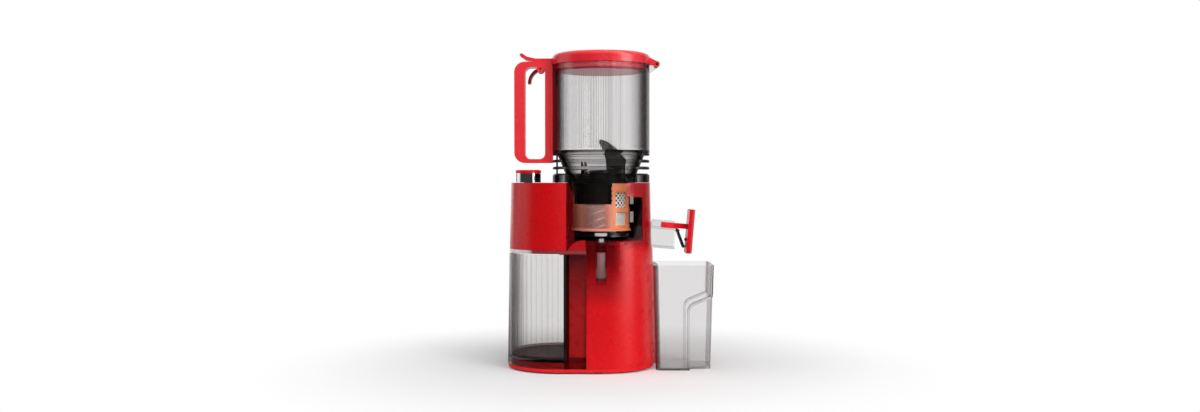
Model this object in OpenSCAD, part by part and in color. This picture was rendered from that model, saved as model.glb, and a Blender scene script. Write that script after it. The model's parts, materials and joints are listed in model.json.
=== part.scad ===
// Cold press juicer with its juice container and pulp cup.
// Millimetres. Z is up, the origin is on the drive axis at table level.
// +X points to the pulp outlet, -X to the control knob.

/* [Body] */
// Radius of the round column at the table
body_low_r = 76.5; // [74:0.5:82]
// Radius of the round column at the deck
body_deck_r = 70.5; // [69.5:0.5:72]
// Distance from the drive axis to the centre of the rounded knob end
body_reach = 56; // [50:1:62]
// Height of the deck above the table
deck_z = 259; // [250:1:268]
// Wall thickness of the moulded housing
wall = 3; // [2:0.25:3.5]
// Height of the container bay's ceiling trim above the table
bay_z = 162.5; // [156:0.5:168]
// Thickness of the metallic trim plate over the bay
trim_h = 4.6; // [3:0.2:6]
// Distance from the drive axis to the column's flat bay face
bay_face_x = 47; // [44:0.5:50]
// Height of the plain rim round the foot of the body
rim_h = 4; // [3:0.5:6]
// Height of the tray under the juice container, above the rim
tray_h = 8.5; // [7:0.5:11]
// Amount that the foot rim is drawn in from the body
rim_inset = 1.2; // [0.4:0.2:2]

/* [Juice container] */
// Wall thickness of the juice container
container_wall = 3.4; // [2.4:0.2:3.6]
// Distance that the container's side skirts run past its flat face
skirt_run = 27; // [20:0.5:30]
// Travel of the container when it is drawn out
container_travel = 150; // [100:10:180]

/* [Hopper] */
// Outer radius of the feed hopper
hopper_r = 68.5; // [66:0.5:69.5]
// Wall thickness of the hopper
hopper_wall = 3.2; // [2.4:0.2:4]
// Height of the collar that sits on the deck
collar_h = 12.5; // [10:0.5:15]
// Height of the ribbed neck above the collar
neck_h = 29; // [25:1:34]
// Height of the straight barrel
barrel_h = 122.7; // [110:1:130]
// Inner radius of the juicing chamber below the funnel
throat_r = 46; // [45.5:0.25:47]
// Number of ring fins round the neck
fin_count = 3; // [2:1:4]
// Thickness of one ring fin
fin_t = 4.2; // [3:0.2:4.8]

/* [Lid] */
// Thickness of the lid
lid_h = 15.4; // [13:0.2:18]
// Amount that the lid's rim stands out past the hopper
lid_lip = 0.8; // [0.4:0.1:1.2]
// Depth of the lid's plug below its rim
plug_depth = 9.5; // [7:0.5:12]
// Radius of the lid's plug
plug_r = 61.5; // [59:0.5:62.5]
// Distance of the hinge pin from the drive axis
hinge_x = 78; // [77:0.5:81]
// Radius of the hinge pin
pin_r = 2; // [1.5:0.1:2.4]

/* [Handle] */
// Distance from the drive axis to the outside of the grip
grip_x = 121.5; // [114:0.5:126]
// Thickness of the grip
grip_t = 15; // [12:0.5:17]
// Width of the grip across the hand
grip_w = 24; // [20:1:28]
// Height of the handle
handle_h = 141.5; // [130:0.5:148]
// Thickness of the strap against the hopper
strap_t = 9.6; // [8:0.2:11]

/* [Chamber] */
// Wall thickness of the juicing chamber and its seat
chamber_wall = 2.6; // [2:0.2:3]
// Height of the chamber's floor above the table, inside
chamber_floor_z = 183; // [181:0.5:185]

/* [Auger and strainer] */
// Radius of the auger's steel band
band_r = 36; // [35:0.25:37]
// Height of the steel band
band_h = 35; // [30:1:38]
// Number of spiral ribs on the band
band_ribs = 12; // [8:1:16]
// Radius of the auger's black shoulder
shoulder_r = 31; // [29:0.5:33]
// Height of the cutting wing's tip above the steel band
wing_h = 92; // [84:1:96]
// Radius of the auger's hub
hub_r = 17; // [15:0.5:19]
// Height of the strainer
strainer_h = 66; // [60:1:68]
// Outer radius of the strainer's frame
strainer_r = 40.5; // [40:0.25:41.5]
// Number of window columns round the strainer
window_columns = 8; // [6:1:10]

/* [Pulp outlet] */
// Slope of the outlet, in degrees
spout_slope = 4.8; // [2:0.2:6]
// Length of the outlet duct from its root to its mouth
spout_l = 60; // [56:0.5:61]
// Height of the outlet duct, outside
spout_h = 29; // [27:0.5:30]
// Width of the outlet duct, outside
spout_w = 32; // [28:1:36]
// Height of the pulp lever's face plate
plate_h = 61.5; // [54:0.5:64]
// Width of the pulp lever's face plate
plate_w = 42; // [36:1:48]
// Travel of the pulp lever when it is pulled
lever_travel = 6; // [4:0.5:6.5]
// Length of the rubber flap
flap_l = 25.5; // [24:0.5:27]

/* [Pulp cup] */
// Length of the pulp cup along the outlet's direction, at the rim
cup_l = 84; // [78:1:90]
// Width of the pulp cup at the rim
cup_w = 96; // [88:1:104]
// Height of the pulp cup
cup_h = 145; // [130:1:150]
// Wall thickness of the pulp cup
cup_wall = 2.4; // [1.8:0.2:3]
// Gap between the cup's hollow side and the column
cup_gap = 1.6; // [1:0.2:3]

/* [Control knob] */
// Distance of the knob from the drive axis
knob_x = 102.5; // [98:0.5:106]
// Radius of the knob
knob_r = 18.2; // [16:0.2:20]
// Height of the knob above the deck
knob_h = 18; // [15:0.5:21]

/* [Drive] */
// Width across the corners of the hexagonal drive shaft
hex_w = 12; // [11:0.5:13]
// Radius of the round part of the shaft
shaft_r = 6.4; // [6:0.1:7]
// Radius of the motor
motor_r = 41; // [36:1:43]
// Height of the motor
motor_h = 66; // [60:1:72]

/* [Hidden] */

// Clearances shared by many pieces, and the overrun of cuts
fit = 0.3;
run_fit = 0.06;
eps = 0.5;

// Feet, screws and cooling slots
foot_h = 2.5;
foot_r = 7.5;
foot_flare = 0.8;
foot_place_shares = [[-0.05, -0.78], [-0.05, 0.78], [0.8, 0], [-1.18, -0.56], [-1.18, 0.56]];
screw_r = 1.6;
screw_head_r = 3.4;
screw_head_h = 1.4;
screw_l = 22;
vent_rows = 3;
vent_l = 24;
vent_w = 3;
vent_pitch = 8;

// Heights of the body, and the step that the container's skirts slide in
rim_top_z = foot_h + rim_h;
rim_r = body_low_r - rim_inset;
tray_top_z = rim_top_z + tray_h;
upper_z = bay_z + trim_h;
step_depth = 2.5;
step_y = body_low_r - container_wall - step_depth;
tray_inset = body_low_r - step_y;

// Heights of the chamber, its seat and the seal round the drive
seat_gap = 8.5;
chamber_under_z = chamber_floor_z - chamber_wall;
chamber_r = throat_r + chamber_wall;
ledge_z = chamber_under_z - fit;
seat_floor_z = ledge_z - seat_gap;
seat_r = hopper_r - 2 * fit - hopper_wall / 2;
seat_top_z = deck_z - wall - fit;
seat_out_r = body_deck_r - wall - fit;
bowl_r = seat_out_r - chamber_wall;
ledge_out_r = chamber_r + chamber_wall;
ledge_in_r = throat_r - chamber_wall;
seal_r = 27.5;
seal_in_r = 15.5;
seal_h = 3;
skirt_mid_r = (seal_r + seal_in_r) / 2;
boss_r = seal_in_r - fit;

// Juice passage from the chamber down to the container
drain_x0 = 58.6;
drain_x1 = bay_face_x + 2 * fit;
drain_w = 20;
drain_wall = 1.5;
drain_rise = 4.6;
drain_top_z = seat_floor_z + drain_rise;
drain_drop = 5;
nozzle_x = drain_x0 + drain_wall;
nozzle_side = 2;
nozzle_w = drain_w + 2 * nozzle_side;
nozzle_h = 13.5;
channel_x = 70;
channel_w = 29;

// Pulp outlet: the root of its sloped frame, and the slot that it lies in
spout_x = 44;
spout_rise = 2.4;
spout_z = chamber_floor_z + spout_rise;
spout_back = 11;
spout_wall = chamber_wall;
slot_gap = 1.2;
slot_w = spout_w + 2 * slot_gap;
slot_x = spout_x - spout_back - slot_gap;
slot_low_z = spout_z - spout_h / 2 - (body_low_r - spout_x) * tan(spout_slope) - slot_gap;

// Heights of the hopper and its lid
collar_z = deck_z + fit;
collar_top_z = collar_z + collar_h;
neck_top_z = collar_top_z + neck_h;
barrel_top_z = neck_top_z + barrel_h;
lid_z = barrel_top_z + eps;
lid_top_z = lid_z + lid_h;
bore_r = hopper_r - hopper_wall;
collar_plate = 2.4;
sleeve_wall = 2.6;
neck_clear = 1.2;
neck_low_r = throat_r + hopper_wall + neck_clear;
neck_step = 6;
neck_high_r = hopper_r - neck_step;
hinge_rise = 1;
hinge_z = lid_z + hinge_rise;
ear_r = 4.2;
ear_w = 16;
lug_w = 3.7;
lid_r = hopper_r + lid_lip;

// Rod that tells the drive that the lid is shut
rod_inset = 3.3;
rod_x = bore_r - rod_inset;
rod_r = 1.3;
rod_travel = 3;
rod_head_r = 2.5;
rod_head_h = 1.4;
plug_low_z = lid_z - plug_depth;
rod_top_z = plug_low_z - fit;
switch_h = 14;
switch_drop = 4;
switch_z = seat_top_z - switch_h - switch_drop;
rod_low_z = switch_z + switch_h + fit;
guide_rise = 17;
guide_block_h = 20;
guide_h = 85;
guide_w = 12.6;
guide_top_w = 5.6;
guide_t = 12;
guide_low_z = neck_top_z + guide_rise;
guide_top_z = guide_low_z + guide_h;

// Drive train below the chamber
motor_clear = 6;
motor_z = tray_top_z + motor_clear;
pedestal_r = 6;
pedestal_circle = 30;
gearbox_r = 38;
gear_h = 34;
gearbox_z = motor_z + motor_h + fit;
gearbox_top_z = seat_floor_z - chamber_wall - fit;
tower_r = 26.8;
screw_circle = 22;
bearing_r = 8.5;
bearing_h = 14;
bearing_z = seat_floor_z + seal_h + fit - bearing_h;
collar_r = 7.8;
foot_collar_h = 12;
shaft_tail = 36;
shaft_low_z = bearing_z - shaft_tail;
output_gear_r = 30;
output_gear_h = 12;
output_gear_rise = 12;
output_gear_z = gearbox_z + output_gear_rise;
output_teeth = 36;
tooth_h = 3.6;
gear_clear = 1;
spigot_h = 6;
spigot_z = output_gear_z - spigot_h;
shaft_collar_z = bearing_z + bearing_h + fit;
shaft_collar_h = 8.4;
shaft_collar_top_z = shaft_collar_z + shaft_collar_h;
hex_h = 22;

// Auger above the chamber floor
sweep_gap = 1;
sweep_h = 5;
sweep_r = 39.5;
lobe_count = 6;
lobe_r = 7;
lobe_out = 3.5;
sweep_z = chamber_floor_z + sweep_gap;
auger_z = sweep_z + sweep_h + fit;
auger_flange_h = 3.4;
band_z = auger_z + auger_flange_h + run_fit;
band_top_z = band_z + band_h;
band_t = 1.4;
rib_t = 0.8;
rib_w = 2.2;
rib_turn = 40;

// Control knob
stem_r = 6;
knob_gap = 0.4;
knob_cap_h = 4.6;
knob_dish = 1.2;
knob_dish_r = 12;
knob_wall = 2;
knob_switch_r = 14;
knob_switch_h = 20;
board_l = 36;
board_w = 50;
board_shift = 7.5;
board_t = 1.6;

// Cord inlet at the back
gland_x = 12;
gland_z = 34;
gland_r = 6;
gland_out = 7;
gland_flange = 2;

// Radius of the body's outside at a height
function skin_r(z) = body_low_r + (body_deck_r - body_low_r) * (z - foot_h) / (deck_z - foot_h);

// Points of an arc, for outlines
function arc(x, z, r, a0, a1, n = 8) =
    [for (i = [0:n]) [x + r * cos(a0 + (a1 - a0) * i / n), z + r * sin(a0 + (a1 - a0) * i / n)]];

// Solid of the body's plan outline between two heights, from one end radius to another
module slab(r0, r1, z0, z1) {
    translate([0, 0, z0]) {
        cylinder(h = z1 - z0, r1 = r0, r2 = r1, $fn = 96);
        translate([-body_reach, 0, 0])
            cylinder(h = z1 - z0, r1 = r0, r2 = r1, $fn = 96);
        translate([-body_reach, 0, 0])
            rotate([90, 0, 90])
                linear_extrude(body_reach)
                    polygon([[-r0, 0], [r0, 0], [r1, z1 - z0], [-r1, z1 - z0]]);
    }
}

// The same for the body's own flare, drawn in by inset
module body_slab(z0, z1, inset = 0) {
    slab(skin_r(z0) - inset, skin_r(z1) - inset, z0, z1);
}

// Box centred on Y between two X and two Z
module block(x0, x1, w, z0, z1) {
    translate([x0, -w / 2, z0])
        cube([x1 - x0, w, z1 - z0]);
}

// Ring or disc from an inner to an outer radius
module ring(r_out, r_in, z0, z1, facets = 96) {
    translate([0, 0, z0])
        difference() {
            cylinder(h = z1 - z0, r = r_out, $fn = facets);
            if (r_in > 0)
                translate([0, 0, -eps])
                    cylinder(h = z1 - z0 + 2 * eps, r = r_in, $fn = facets);
        }
}

// Plain bar along Z between two heights
module post(x, y, r, z0, z1, facets = 32) {
    translate([x, y, z0])
        cylinder(h = z1 - z0, r = r, $fn = facets);
}

// Plain bar along Y, centred
module cross_bar(x, z, r, w, facets = 32) {
    translate([x, w / 2, z])
        rotate([90, 0, 0])
            cylinder(h = w, r = r, $fn = facets);
}

// Flat outline with four round corners
module round_rect(x0, y0, x1, y1, r) {
    translate([x0 + r, y0])
        square([x1 - x0 - 2 * r, y1 - y0]);
    translate([x0, y0 + r])
        square([x1 - x0, y1 - y0 - 2 * r]);
    for (x = [x0 + r, x1 - r], y = [y0 + r, y1 - r])
        translate([x, y])
            circle(r, $fn = 48);
}

// Stands an outline drawn in X and Z up, with a width across Y
module upright(width, y = 0) {
    translate([0, y + width / 2, 0])
        rotate([90, 0, 0])
            linear_extrude(width)
                children();
}

// Places its children in the sloped frame of the pulp outlet
module in_outlet() {
    translate([spout_x, 0, spout_z])
        rotate([0, spout_slope, 0])
            children();
}

// Centre line of a coil along Z, its frame and its tube
coil_rings = 8;
coil_sides = 6;
function coil_at(r, length, turns, i) =
    let (t = i / coil_rings)
    [r * cos(t * 360), r * sin(t * 360), length * t / turns];
function coil_gap(r, wire, length, turns) =
    min([for (i = [0:turns * coil_rings], j = [i + coil_rings / 2 + 1:turns * coil_rings])
        norm(coil_at(r, length, turns, i) - coil_at(r, length, turns, j))]) - 2 * wire;
module coil(r, wire, length, turns) {
    n = turns * coil_rings;
    rise = atan(length / (turns * 2 * PI * r));
    points = [
        for (i = [0:n], k = [0:coil_sides - 1])
            let (c = coil_at(r, length, turns, i), a = i * 360 / coil_rings, b = k * 360 / coil_sides)
            c + wire * [
                cos(b) * cos(a) + sin(b) * sin(rise) * sin(a),
                cos(b) * sin(a) - sin(b) * sin(rise) * cos(a),
                sin(b) * cos(rise)
            ]
    ];
    sides = [
        for (i = [0:n - 1], k = [0:coil_sides - 1])
            let (p = i * coil_sides + k, q = i * coil_sides + (k + 1) % coil_sides)
            each [[p, q, p + coil_sides], [q, q + coil_sides, p + coil_sides]]
    ];
    low = [for (k = [coil_sides - 1:-1:0]) k];
    high = [for (k = [0:coil_sides - 1]) n * coil_sides + k];
    polyhedron(points, concat(sides, [low, high]));
}

// Base body

module housing_solid() {
    difference() {
        body_slab(rim_top_z + fit, deck_z);
        block(-4 * body_low_r, -bay_face_x, 4 * body_low_r, 0, upper_z + fit);
    }
}

// Wall of the column behind the juice container
module bay_wall() {
    intersection() {
        body_slab(tray_top_z + fit, upper_z + 2 * wall, wall / 2);
        block(-bay_face_x, wall - bay_face_x, 4 * body_low_r, 0, deck_z);
    }
}

// Space beside the column for the container's skirts and the trim's ends, less a gap on both sides
module skirt_space(gap, z0, z1) {
    for (side = [0, 1])
        mirror([0, side, 0])
            translate([-bay_face_x - eps, step_y + gap, z0])
                cube([skirt_run + fit + eps - gap, body_low_r, z1 - z0]);
}

// Walls of the column behind the skirts
module step_walls() {
    intersection() {
        body_slab(tray_top_z + fit, upper_z + 2 * wall, wall / 2);
        for (side = [0, 1])
            mirror([0, side, 0])
                translate([-bay_face_x, step_y - wall, 0])
                    cube([skirt_run + fit + wall, body_low_r, upper_z + 2 * wall]);
    }
}

// Channel that the chamber's juice nozzle comes down, and the slot of the pulp outlet
module nozzle_channel(z0) {
    block(-channel_x, -ledge_in_r, channel_w, z0, deck_z + eps);
}

module outlet_slot(x0) {
    block(x0, 2 * body_low_r, slot_w, slot_low_z, deck_z + eps);
}

module main_housing() {
    color("firebrick")
        difference() {
            union() {
                difference() {
                    housing_solid();
                    body_slab(rim_top_z, deck_z - wall, wall);
                }
                bay_wall();
                step_walls();
            }
            skirt_space(0, foot_h, upper_z + fit);
            post(0, 0, seat_r, deck_z - 2 * wall, deck_z + eps, 96);
            outlet_slot(throat_r);
            nozzle_channel(deck_z - 2 * wall);
            post(-knob_x, 0, stem_r + fit, deck_z - 2 * wall, deck_z + eps);
            translate([gland_x, skin_r(gland_z), gland_z])
                rotate([90, 0, 0])
                    cylinder(h = 4 * wall, r = gland_r + fit, center = true, $fn = 48);
        }
}

module base_tray() {
    color("firebrick")
        difference() {
            union() {
                slab(rim_r - rim_inset, rim_r, foot_h, rim_top_z);
                body_slab(rim_top_z, tray_top_z, tray_inset);
                for (a = [45:90:315])
                    rotate([0, 0, a])
                        post(pedestal_circle, 0, pedestal_r, rim_top_z, motor_z - fit);
            }
            for (i = [-vent_rows:vent_rows])
                translate([-vent_l / 2, i * vent_pitch - vent_w / 2, 0])
                    cube([vent_l, vent_w, motor_z]);
        }
}

module feet() {
    color("black")
        for (p = foot_place_shares)
            translate([p[0] * body_low_r, p[1] * body_low_r, 0])
                cylinder(h = foot_h, r1 = foot_r - foot_flare, r2 = foot_r, $fn = 48);
}

// Outline of the drain, grown by an amount
module drain_box(grow, z0, z1) {
    block(-drain_x0 - grow, grow - drain_x1, drain_w + 2 * grow, z0, z1);
}

module trim_plate() {
    color("silver")
        difference() {
            body_slab(bay_z, upper_z);
            difference() {
                block(-bay_face_x - fit, 2 * body_low_r, 4 * body_low_r, foot_h, deck_z);
                skirt_space(fit, foot_h, deck_z);
            }
            drain_box(fit, foot_h, deck_z);
        }
}

module juice_chute() {
    color("firebrick")
        difference() {
            union() {
                drain_box(0, bay_z - drain_drop, drain_top_z);
                difference() {
                    drain_box(drain_wall, upper_z + fit, upper_z + fit + drain_wall);
                    block(-bay_face_x - fit, 0, body_low_r, foot_h, deck_z);
                }
            }
            drain_box(-drain_wall, 0, deck_z);
        }
}

module chute_gasket() {
    color("dimgray")
        difference() {
            drain_box(drain_wall, drain_top_z + fit, chamber_under_z - fit);
            drain_box(-drain_wall, 0, deck_z);
        }
}

// Profile of the seat, drawn as radius and height
module seat_profile() {
    low = chamber_wall;
    polygon([
        [seat_out_r, seat_top_z],
        [bowl_r, seat_top_z],
        [ledge_out_r, ledge_z],
        [ledge_in_r, ledge_z],
        [seal_r + wall, seat_floor_z + low],
        [seal_r + fit, seat_floor_z],
        [boss_r, seat_floor_z],
        [boss_r, seat_floor_z + seal_h],
        [bearing_r + run_fit, seat_floor_z + seal_h],
        [bearing_r + run_fit, seat_floor_z - low],
        [seal_r + wall, seat_floor_z - low],
        [ledge_in_r + low / 2, ledge_z - low],
        [ledge_out_r + low, ledge_z - low],
        [seat_out_r, seat_top_z - 2 * low]
    ]);
}

// Space above the seat, kept clear of the walls of its two channels
module bowl_space() {
    rotate_extrude($fn = 96)
        polygon([
            [0, deck_z],
            [bowl_r, deck_z],
            [bowl_r, seat_top_z],
            [ledge_out_r, ledge_z],
            [ledge_in_r, ledge_z],
            [seal_r + wall, seat_floor_z + chamber_wall],
            [0, seat_floor_z + chamber_wall]
        ]);
}

module chamber_seat() {
    floor_z = drain_top_z - chamber_wall;
    side = 2 * chamber_wall;
    color("firebrick")
        difference() {
            union() {
                rotate_extrude($fn = 96)
                    seat_profile();
                difference() {
                    union() {
                        block(-channel_x - chamber_wall, -ledge_in_r, channel_w + side,
                              floor_z, seat_top_z);
                        intersection() {
                            block(slot_x - chamber_wall, body_low_r, slot_w + side,
                                  slot_low_z - chamber_wall, seat_top_z);
                            body_slab(bay_z, seat_top_z, wall + fit);
                        }
                    }
                    bowl_space();
                }
            }
            nozzle_channel(drain_top_z);
            outlet_slot(slot_x);
            drain_box(fit, 0, deck_z);
            for (side_x = [-screw_circle, screw_circle]) {
                post(side_x, 0, screw_r + fit, foot_h, deck_z);
                post(side_x, 0, screw_head_r + fit, seat_floor_z - screw_head_h, seat_floor_z + eps);
            }
        }
}

module seat_seal() {
    color("dimgray")
        ring(seal_r, seal_in_r, seat_floor_z + fit, seat_floor_z + seal_h);
}

module seat_screws() {
    color("silver")
        for (side_x = [-screw_circle, screw_circle]) {
            post(side_x, 0, screw_head_r, seat_floor_z - screw_head_h, seat_floor_z);
            post(side_x, 0, screw_r, seat_floor_z - screw_l, seat_floor_z);
        }
}

module safety_switch() {
    color("dimgray")
        difference() {
            block(-channel_x + fit, -nozzle_x - 2 * fit, channel_w - 2 * fit, switch_z, switch_z + switch_h);
            bowl_space();
        }
}

module gearbox_case() {
    color("gray")
        difference() {
            union() {
                ring(gearbox_r, 0, gearbox_z, gearbox_z + gear_h);
                ring(tower_r, 0, gearbox_z, gearbox_top_z);
            }
            post(0, 0, collar_r + run_fit, shaft_low_z - fit, deck_z, 48);
            post(0, 0, shaft_r + run_fit, spigot_z - fit, shaft_low_z, 48);
            ring(output_gear_r + gear_clear, 0, output_gear_z - gear_clear,
                 output_gear_z + output_gear_h + gear_clear);
            post(0, 0, bearing_r + run_fit, bearing_z - fit, deck_z, 48);
            for (side_x = [-screw_circle, screw_circle])
                post(side_x, 0, screw_r + run_fit, seat_floor_z - screw_l - fit, deck_z);
        }
}

module motor_can() {
    color("dimgray") {
        ring(motor_r, 0, motor_z, motor_z + motor_h);
    }
}

module shaft_bearing() {
    color("dimgray")
        ring(bearing_r, shaft_r + run_fit, bearing_z, bearing_z + bearing_h, 48);
}

module drive_shaft() {
    color("silver") {
        post(0, 0, collar_r, shaft_low_z, shaft_low_z + foot_collar_h, 48);
        post(0, 0, shaft_r, spigot_z, shaft_collar_top_z, 48);
        post(0, 0, hex_w / 2, shaft_collar_top_z - eps, shaft_collar_top_z + hex_h, 6);
    }
}

// Last wheel of the reduction gear, on the foot of the shaft
module output_gear() {
    pitch = 360 / output_teeth;
    root_r = output_gear_r - tooth_h;
    color("gray")
        difference() {
            translate([0, 0, output_gear_z])
                linear_extrude(output_gear_h)
                    polygon([
                        for (i = [0:output_teeth - 1], s = [[0, -0.3], [1, -0.12], [1, 0.12], [0, 0.3]])
                            let (r = root_r + s[0] * tooth_h, a = (i + s[1]) * pitch)
                            [r * cos(a), r * sin(a)]
                    ]);
            post(0, 0, shaft_r + run_fit, foot_h, deck_z, 48);
        }
}

module shaft_collar() {
    color("silver")
        ring(collar_r, shaft_r + run_fit, shaft_collar_z, shaft_collar_top_z, 48);
}

// Control knob and what it turns

module knob_ring() {
    z0 = deck_z + knob_gap;
    z1 = deck_z + knob_h - knob_cap_h;
    color("silver")
        knob_turned()
            polygon([
                [knob_r - knob_wall, z0],
                [knob_r, z0],
                [knob_r, z1],
                [0, z1],
                [0, z1 - knob_wall],
                [knob_r - knob_wall, z1 - knob_wall]
            ]);
}

module knob_turned() {
    translate([-knob_x, 0, 0])
        rotate_extrude($fn = 72)
            children();
}

module knob_cap() {
    z0 = deck_z + knob_h - knob_cap_h + run_fit;
    z1 = deck_z + knob_h;
    color("firebrick")
        knob_turned()
            polygon([
                [0, z0],
                [knob_r - run_fit, z0],
                [knob_r - run_fit, z1 - knob_dish],
                [knob_r - knob_dish, z1],
                [knob_dish_r, z1],
                [knob_dish_r - knob_dish, z1 - knob_dish],
                [0, z1 - knob_dish]
            ]);
}

module knob_stem() {
    color("dimgray")
        post(-knob_x, 0, stem_r, deck_z - 2 * wall - knob_switch_h / 2,
             deck_z + knob_h - knob_cap_h - knob_wall - run_fit, 48);
}

module rotary_switch() {
    top = deck_z - wall - fit;
    color("dimgray")
        translate([-knob_x, 0, 0])
            difference() {
                ring(knob_switch_r, 0, top - knob_switch_h, top, 72);
                post(0, 0, stem_r + run_fit, deck_z - 2 * wall - knob_switch_h / 2 - fit, deck_z, 48);
            }
}

module control_board() {
    z = deck_z - wall - 2 * fit - knob_switch_h;
    color("green")
        translate([board_shift - knob_x, 0, 0])
            block(-board_l / 2, board_l / 2, board_w, z - board_t, z);
}

module cord_gland() {
    back_y = skin_r(gland_z);
    color("black")
        translate([gland_x, back_y + gland_out, gland_z])
            rotate([90, 0, 0])
                difference() {
                    union() {
                        cylinder(h = gland_out + 2 * wall, r = gland_r, $fn = 48);
                        translate([0, 0, gland_out - gland_flange - fit])
                            cylinder(h = gland_flange, r = gland_r + gland_flange, $fn = 48);
                    }
                    translate([0, 0, -eps])
                        cylinder(h = gland_out + 3 * wall, r = gland_r / 2, $fn = 48);
                }
}

// Juice container

container_face_x = bay_face_x + fit;
container_z0 = rim_top_z + fit;
container_gap = 1.4;
container_z1 = bay_z - container_gap;
container_floor_z = tray_top_z + fit;
container_in_r = step_y + fit;
container_low_r = body_low_r - rim_inset;
container_top_r = skin_r(container_z1) + fit;

// Solid of the container's flared outline up to a plane across X
module container_slab(r0, r1, x1, z0, z1) {
    intersection() {
        slab(r0, r1, z0, z1);
        block(-body_reach - 2 * body_low_r, -x1, 4 * body_low_r, z0 - eps, z1 + eps);
    }
}

module juice_container() {
    in_r = container_in_r;
    color("lightsteelblue", 0.4)
        difference() {
            container_slab(container_low_r, container_top_r, bay_face_x - skirt_run,
                           container_z0, container_z1);
            container_slab(in_r, in_r, container_face_x + container_wall,
                           container_floor_z + container_wall, deck_z);
            container_slab(in_r, in_r, bay_face_x - skirt_run - eps, foot_h, container_floor_z);
            block(-container_face_x, 0, 2 * in_r, foot_h, deck_z);
            block(-container_face_x - 2 * container_wall, 0, drain_w + 4 * drain_wall,
                  bay_z - drain_drop - 2 * drain_wall, deck_z);
        }
}

// Hopper, its guide and the rod in it

weld_z = neck_top_z + hopper_wall;
neck_rib_w = 5;
neck_rib_a = 247;

// Outer radius of the sloped neck at a height
function neck_r(z) = neck_low_r + (neck_high_r - neck_low_r) * (z - collar_top_z) / neck_h;

module hopper_profile() {
    edge = collar_plate;
    polygon([
        [bore_r, weld_z],
        [hopper_r, weld_z],
        [hopper_r, neck_top_z],
        [neck_high_r, neck_top_z],
        [neck_low_r, collar_top_z],
        [hopper_r - edge, collar_top_z],
        [hopper_r, collar_top_z - edge],
        [hopper_r, collar_z],
        [bore_r, collar_z],
        [bore_r, collar_top_z - edge],
        [chamber_r + fit + sleeve_wall, collar_top_z - edge],
        [chamber_r + fit + sleeve_wall, collar_z],
        [chamber_r + fit, collar_z],
        [chamber_r + fit, collar_top_z],
        [neck_low_r - hopper_wall, collar_top_z],
        [neck_high_r - hopper_wall, neck_top_z],
        [bore_r, weld_z]
    ]);
}

// Upright rib at the front that ties the fins to the collar
module neck_rib() {
    z1 = neck_top_z - fin_t / 2 - neck_h / fin_count;
    rotate([0, 0, neck_rib_a])
        upright(neck_rib_w)
            polygon([
                [neck_low_r - hopper_wall / 2, collar_top_z - eps],
                [hopper_r - fin_t, collar_top_z - eps],
                [hopper_r - fin_t, z1],
                [neck_r(z1) - hopper_wall / 2, z1]
            ]);
}

// Round-edged fins round the neck
module neck_fins() {
    step = neck_h / fin_count;
    round_r = fin_t / 2;
    rotate_extrude($fn = 96)
        for (i = [0:fin_count - 1]) {
            z = neck_top_z - round_r - i * step;
            r_in = neck_r(z) - hopper_wall / 2;
            translate([r_in, z - round_r])
                square([hopper_r - round_r - r_in, fin_t]);
            translate([hopper_r - round_r, z])
                circle(round_r, $fn = 24);
        }
}

// Ear for the lid's pin, drawn in X and Z
module ear_outline() {
    root_x = bore_r + hopper_wall / 2;
    polygon([
        [root_x, hinge_z - 3 * ear_r],
        [hinge_x + 0.9 * ear_r, hinge_z - 0.6 * ear_r],
        [hinge_x, hinge_z],
        [hinge_x - 0.9 * ear_r, hinge_z - 0.45 * ear_r],
        [root_x, barrel_top_z]
    ]);
    translate([hinge_x, hinge_z])
        circle(ear_r, $fn = 48);
}

module hopper() {
    color("slategray", 0.45)
        difference() {
            union() {
                rotate_extrude($fn = 96)
                    hopper_profile();
                neck_fins();
                neck_rib();
            }
            post(-rod_x, 0, rod_r + fit, deck_z, guide_low_z);
        }
}

// Straight barrel welded on the neck, with the ear for the lid's pin
module hopper_barrel() {
    color("slategray", 0.45)
        difference() {
            union() {
                ring(hopper_r, bore_r, weld_z + run_fit, barrel_top_z);
                upright(ear_w)
                    ear_outline();
            }
            cross_bar(hinge_x, hinge_z, pin_r + run_fit, 2 * ear_w);
        }
}

module hopper_guide() {
    wall_x = -bore_r - eps;
    color("lightsteelblue", 0.5)
        difference() {
            intersection() {
                union() {
                    upright(guide_t)
                        polygon([
                            [wall_x, guide_low_z],
                            [guide_w - bore_r, guide_low_z],
                            [guide_w - bore_r, guide_low_z + guide_block_h],
                            [guide_top_w - bore_r, guide_top_z],
                            [wall_x, guide_top_z]
                        ]);
                    post(-rod_x, 0, 2 * (rod_r + fit), weld_z + fit, guide_low_z + eps);
                }
                ring(bore_r - fit, 0, neck_top_z, guide_top_z + eps);
            }
            post(-rod_x, 0, rod_r + fit, deck_z, barrel_top_z);
        }
}

module interlock_rod() {
    color("dimgray") {
        post(-rod_x, 0, rod_r, rod_low_z, rod_top_z);
        post(-rod_x, 0, rod_head_r, rod_top_z - rod_head_h, rod_top_z);
    }
}

spring_wire = 0.35;
spring_turns = 7;
module interlock_spring() {
    z0 = guide_top_z + spring_wire + fit;
    z1 = rod_top_z - rod_head_h - spring_wire - fit;
    r = rod_r + fit + spring_wire;
    echo(interlock_spring_least_gap = coil_gap(r, spring_wire, z1 - z0, spring_turns));
    color("silver")
        translate([-rod_x, 0, z0])
            coil(r, spring_wire, z1 - z0, spring_turns);
}

// Carrying handle and its trigger

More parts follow.
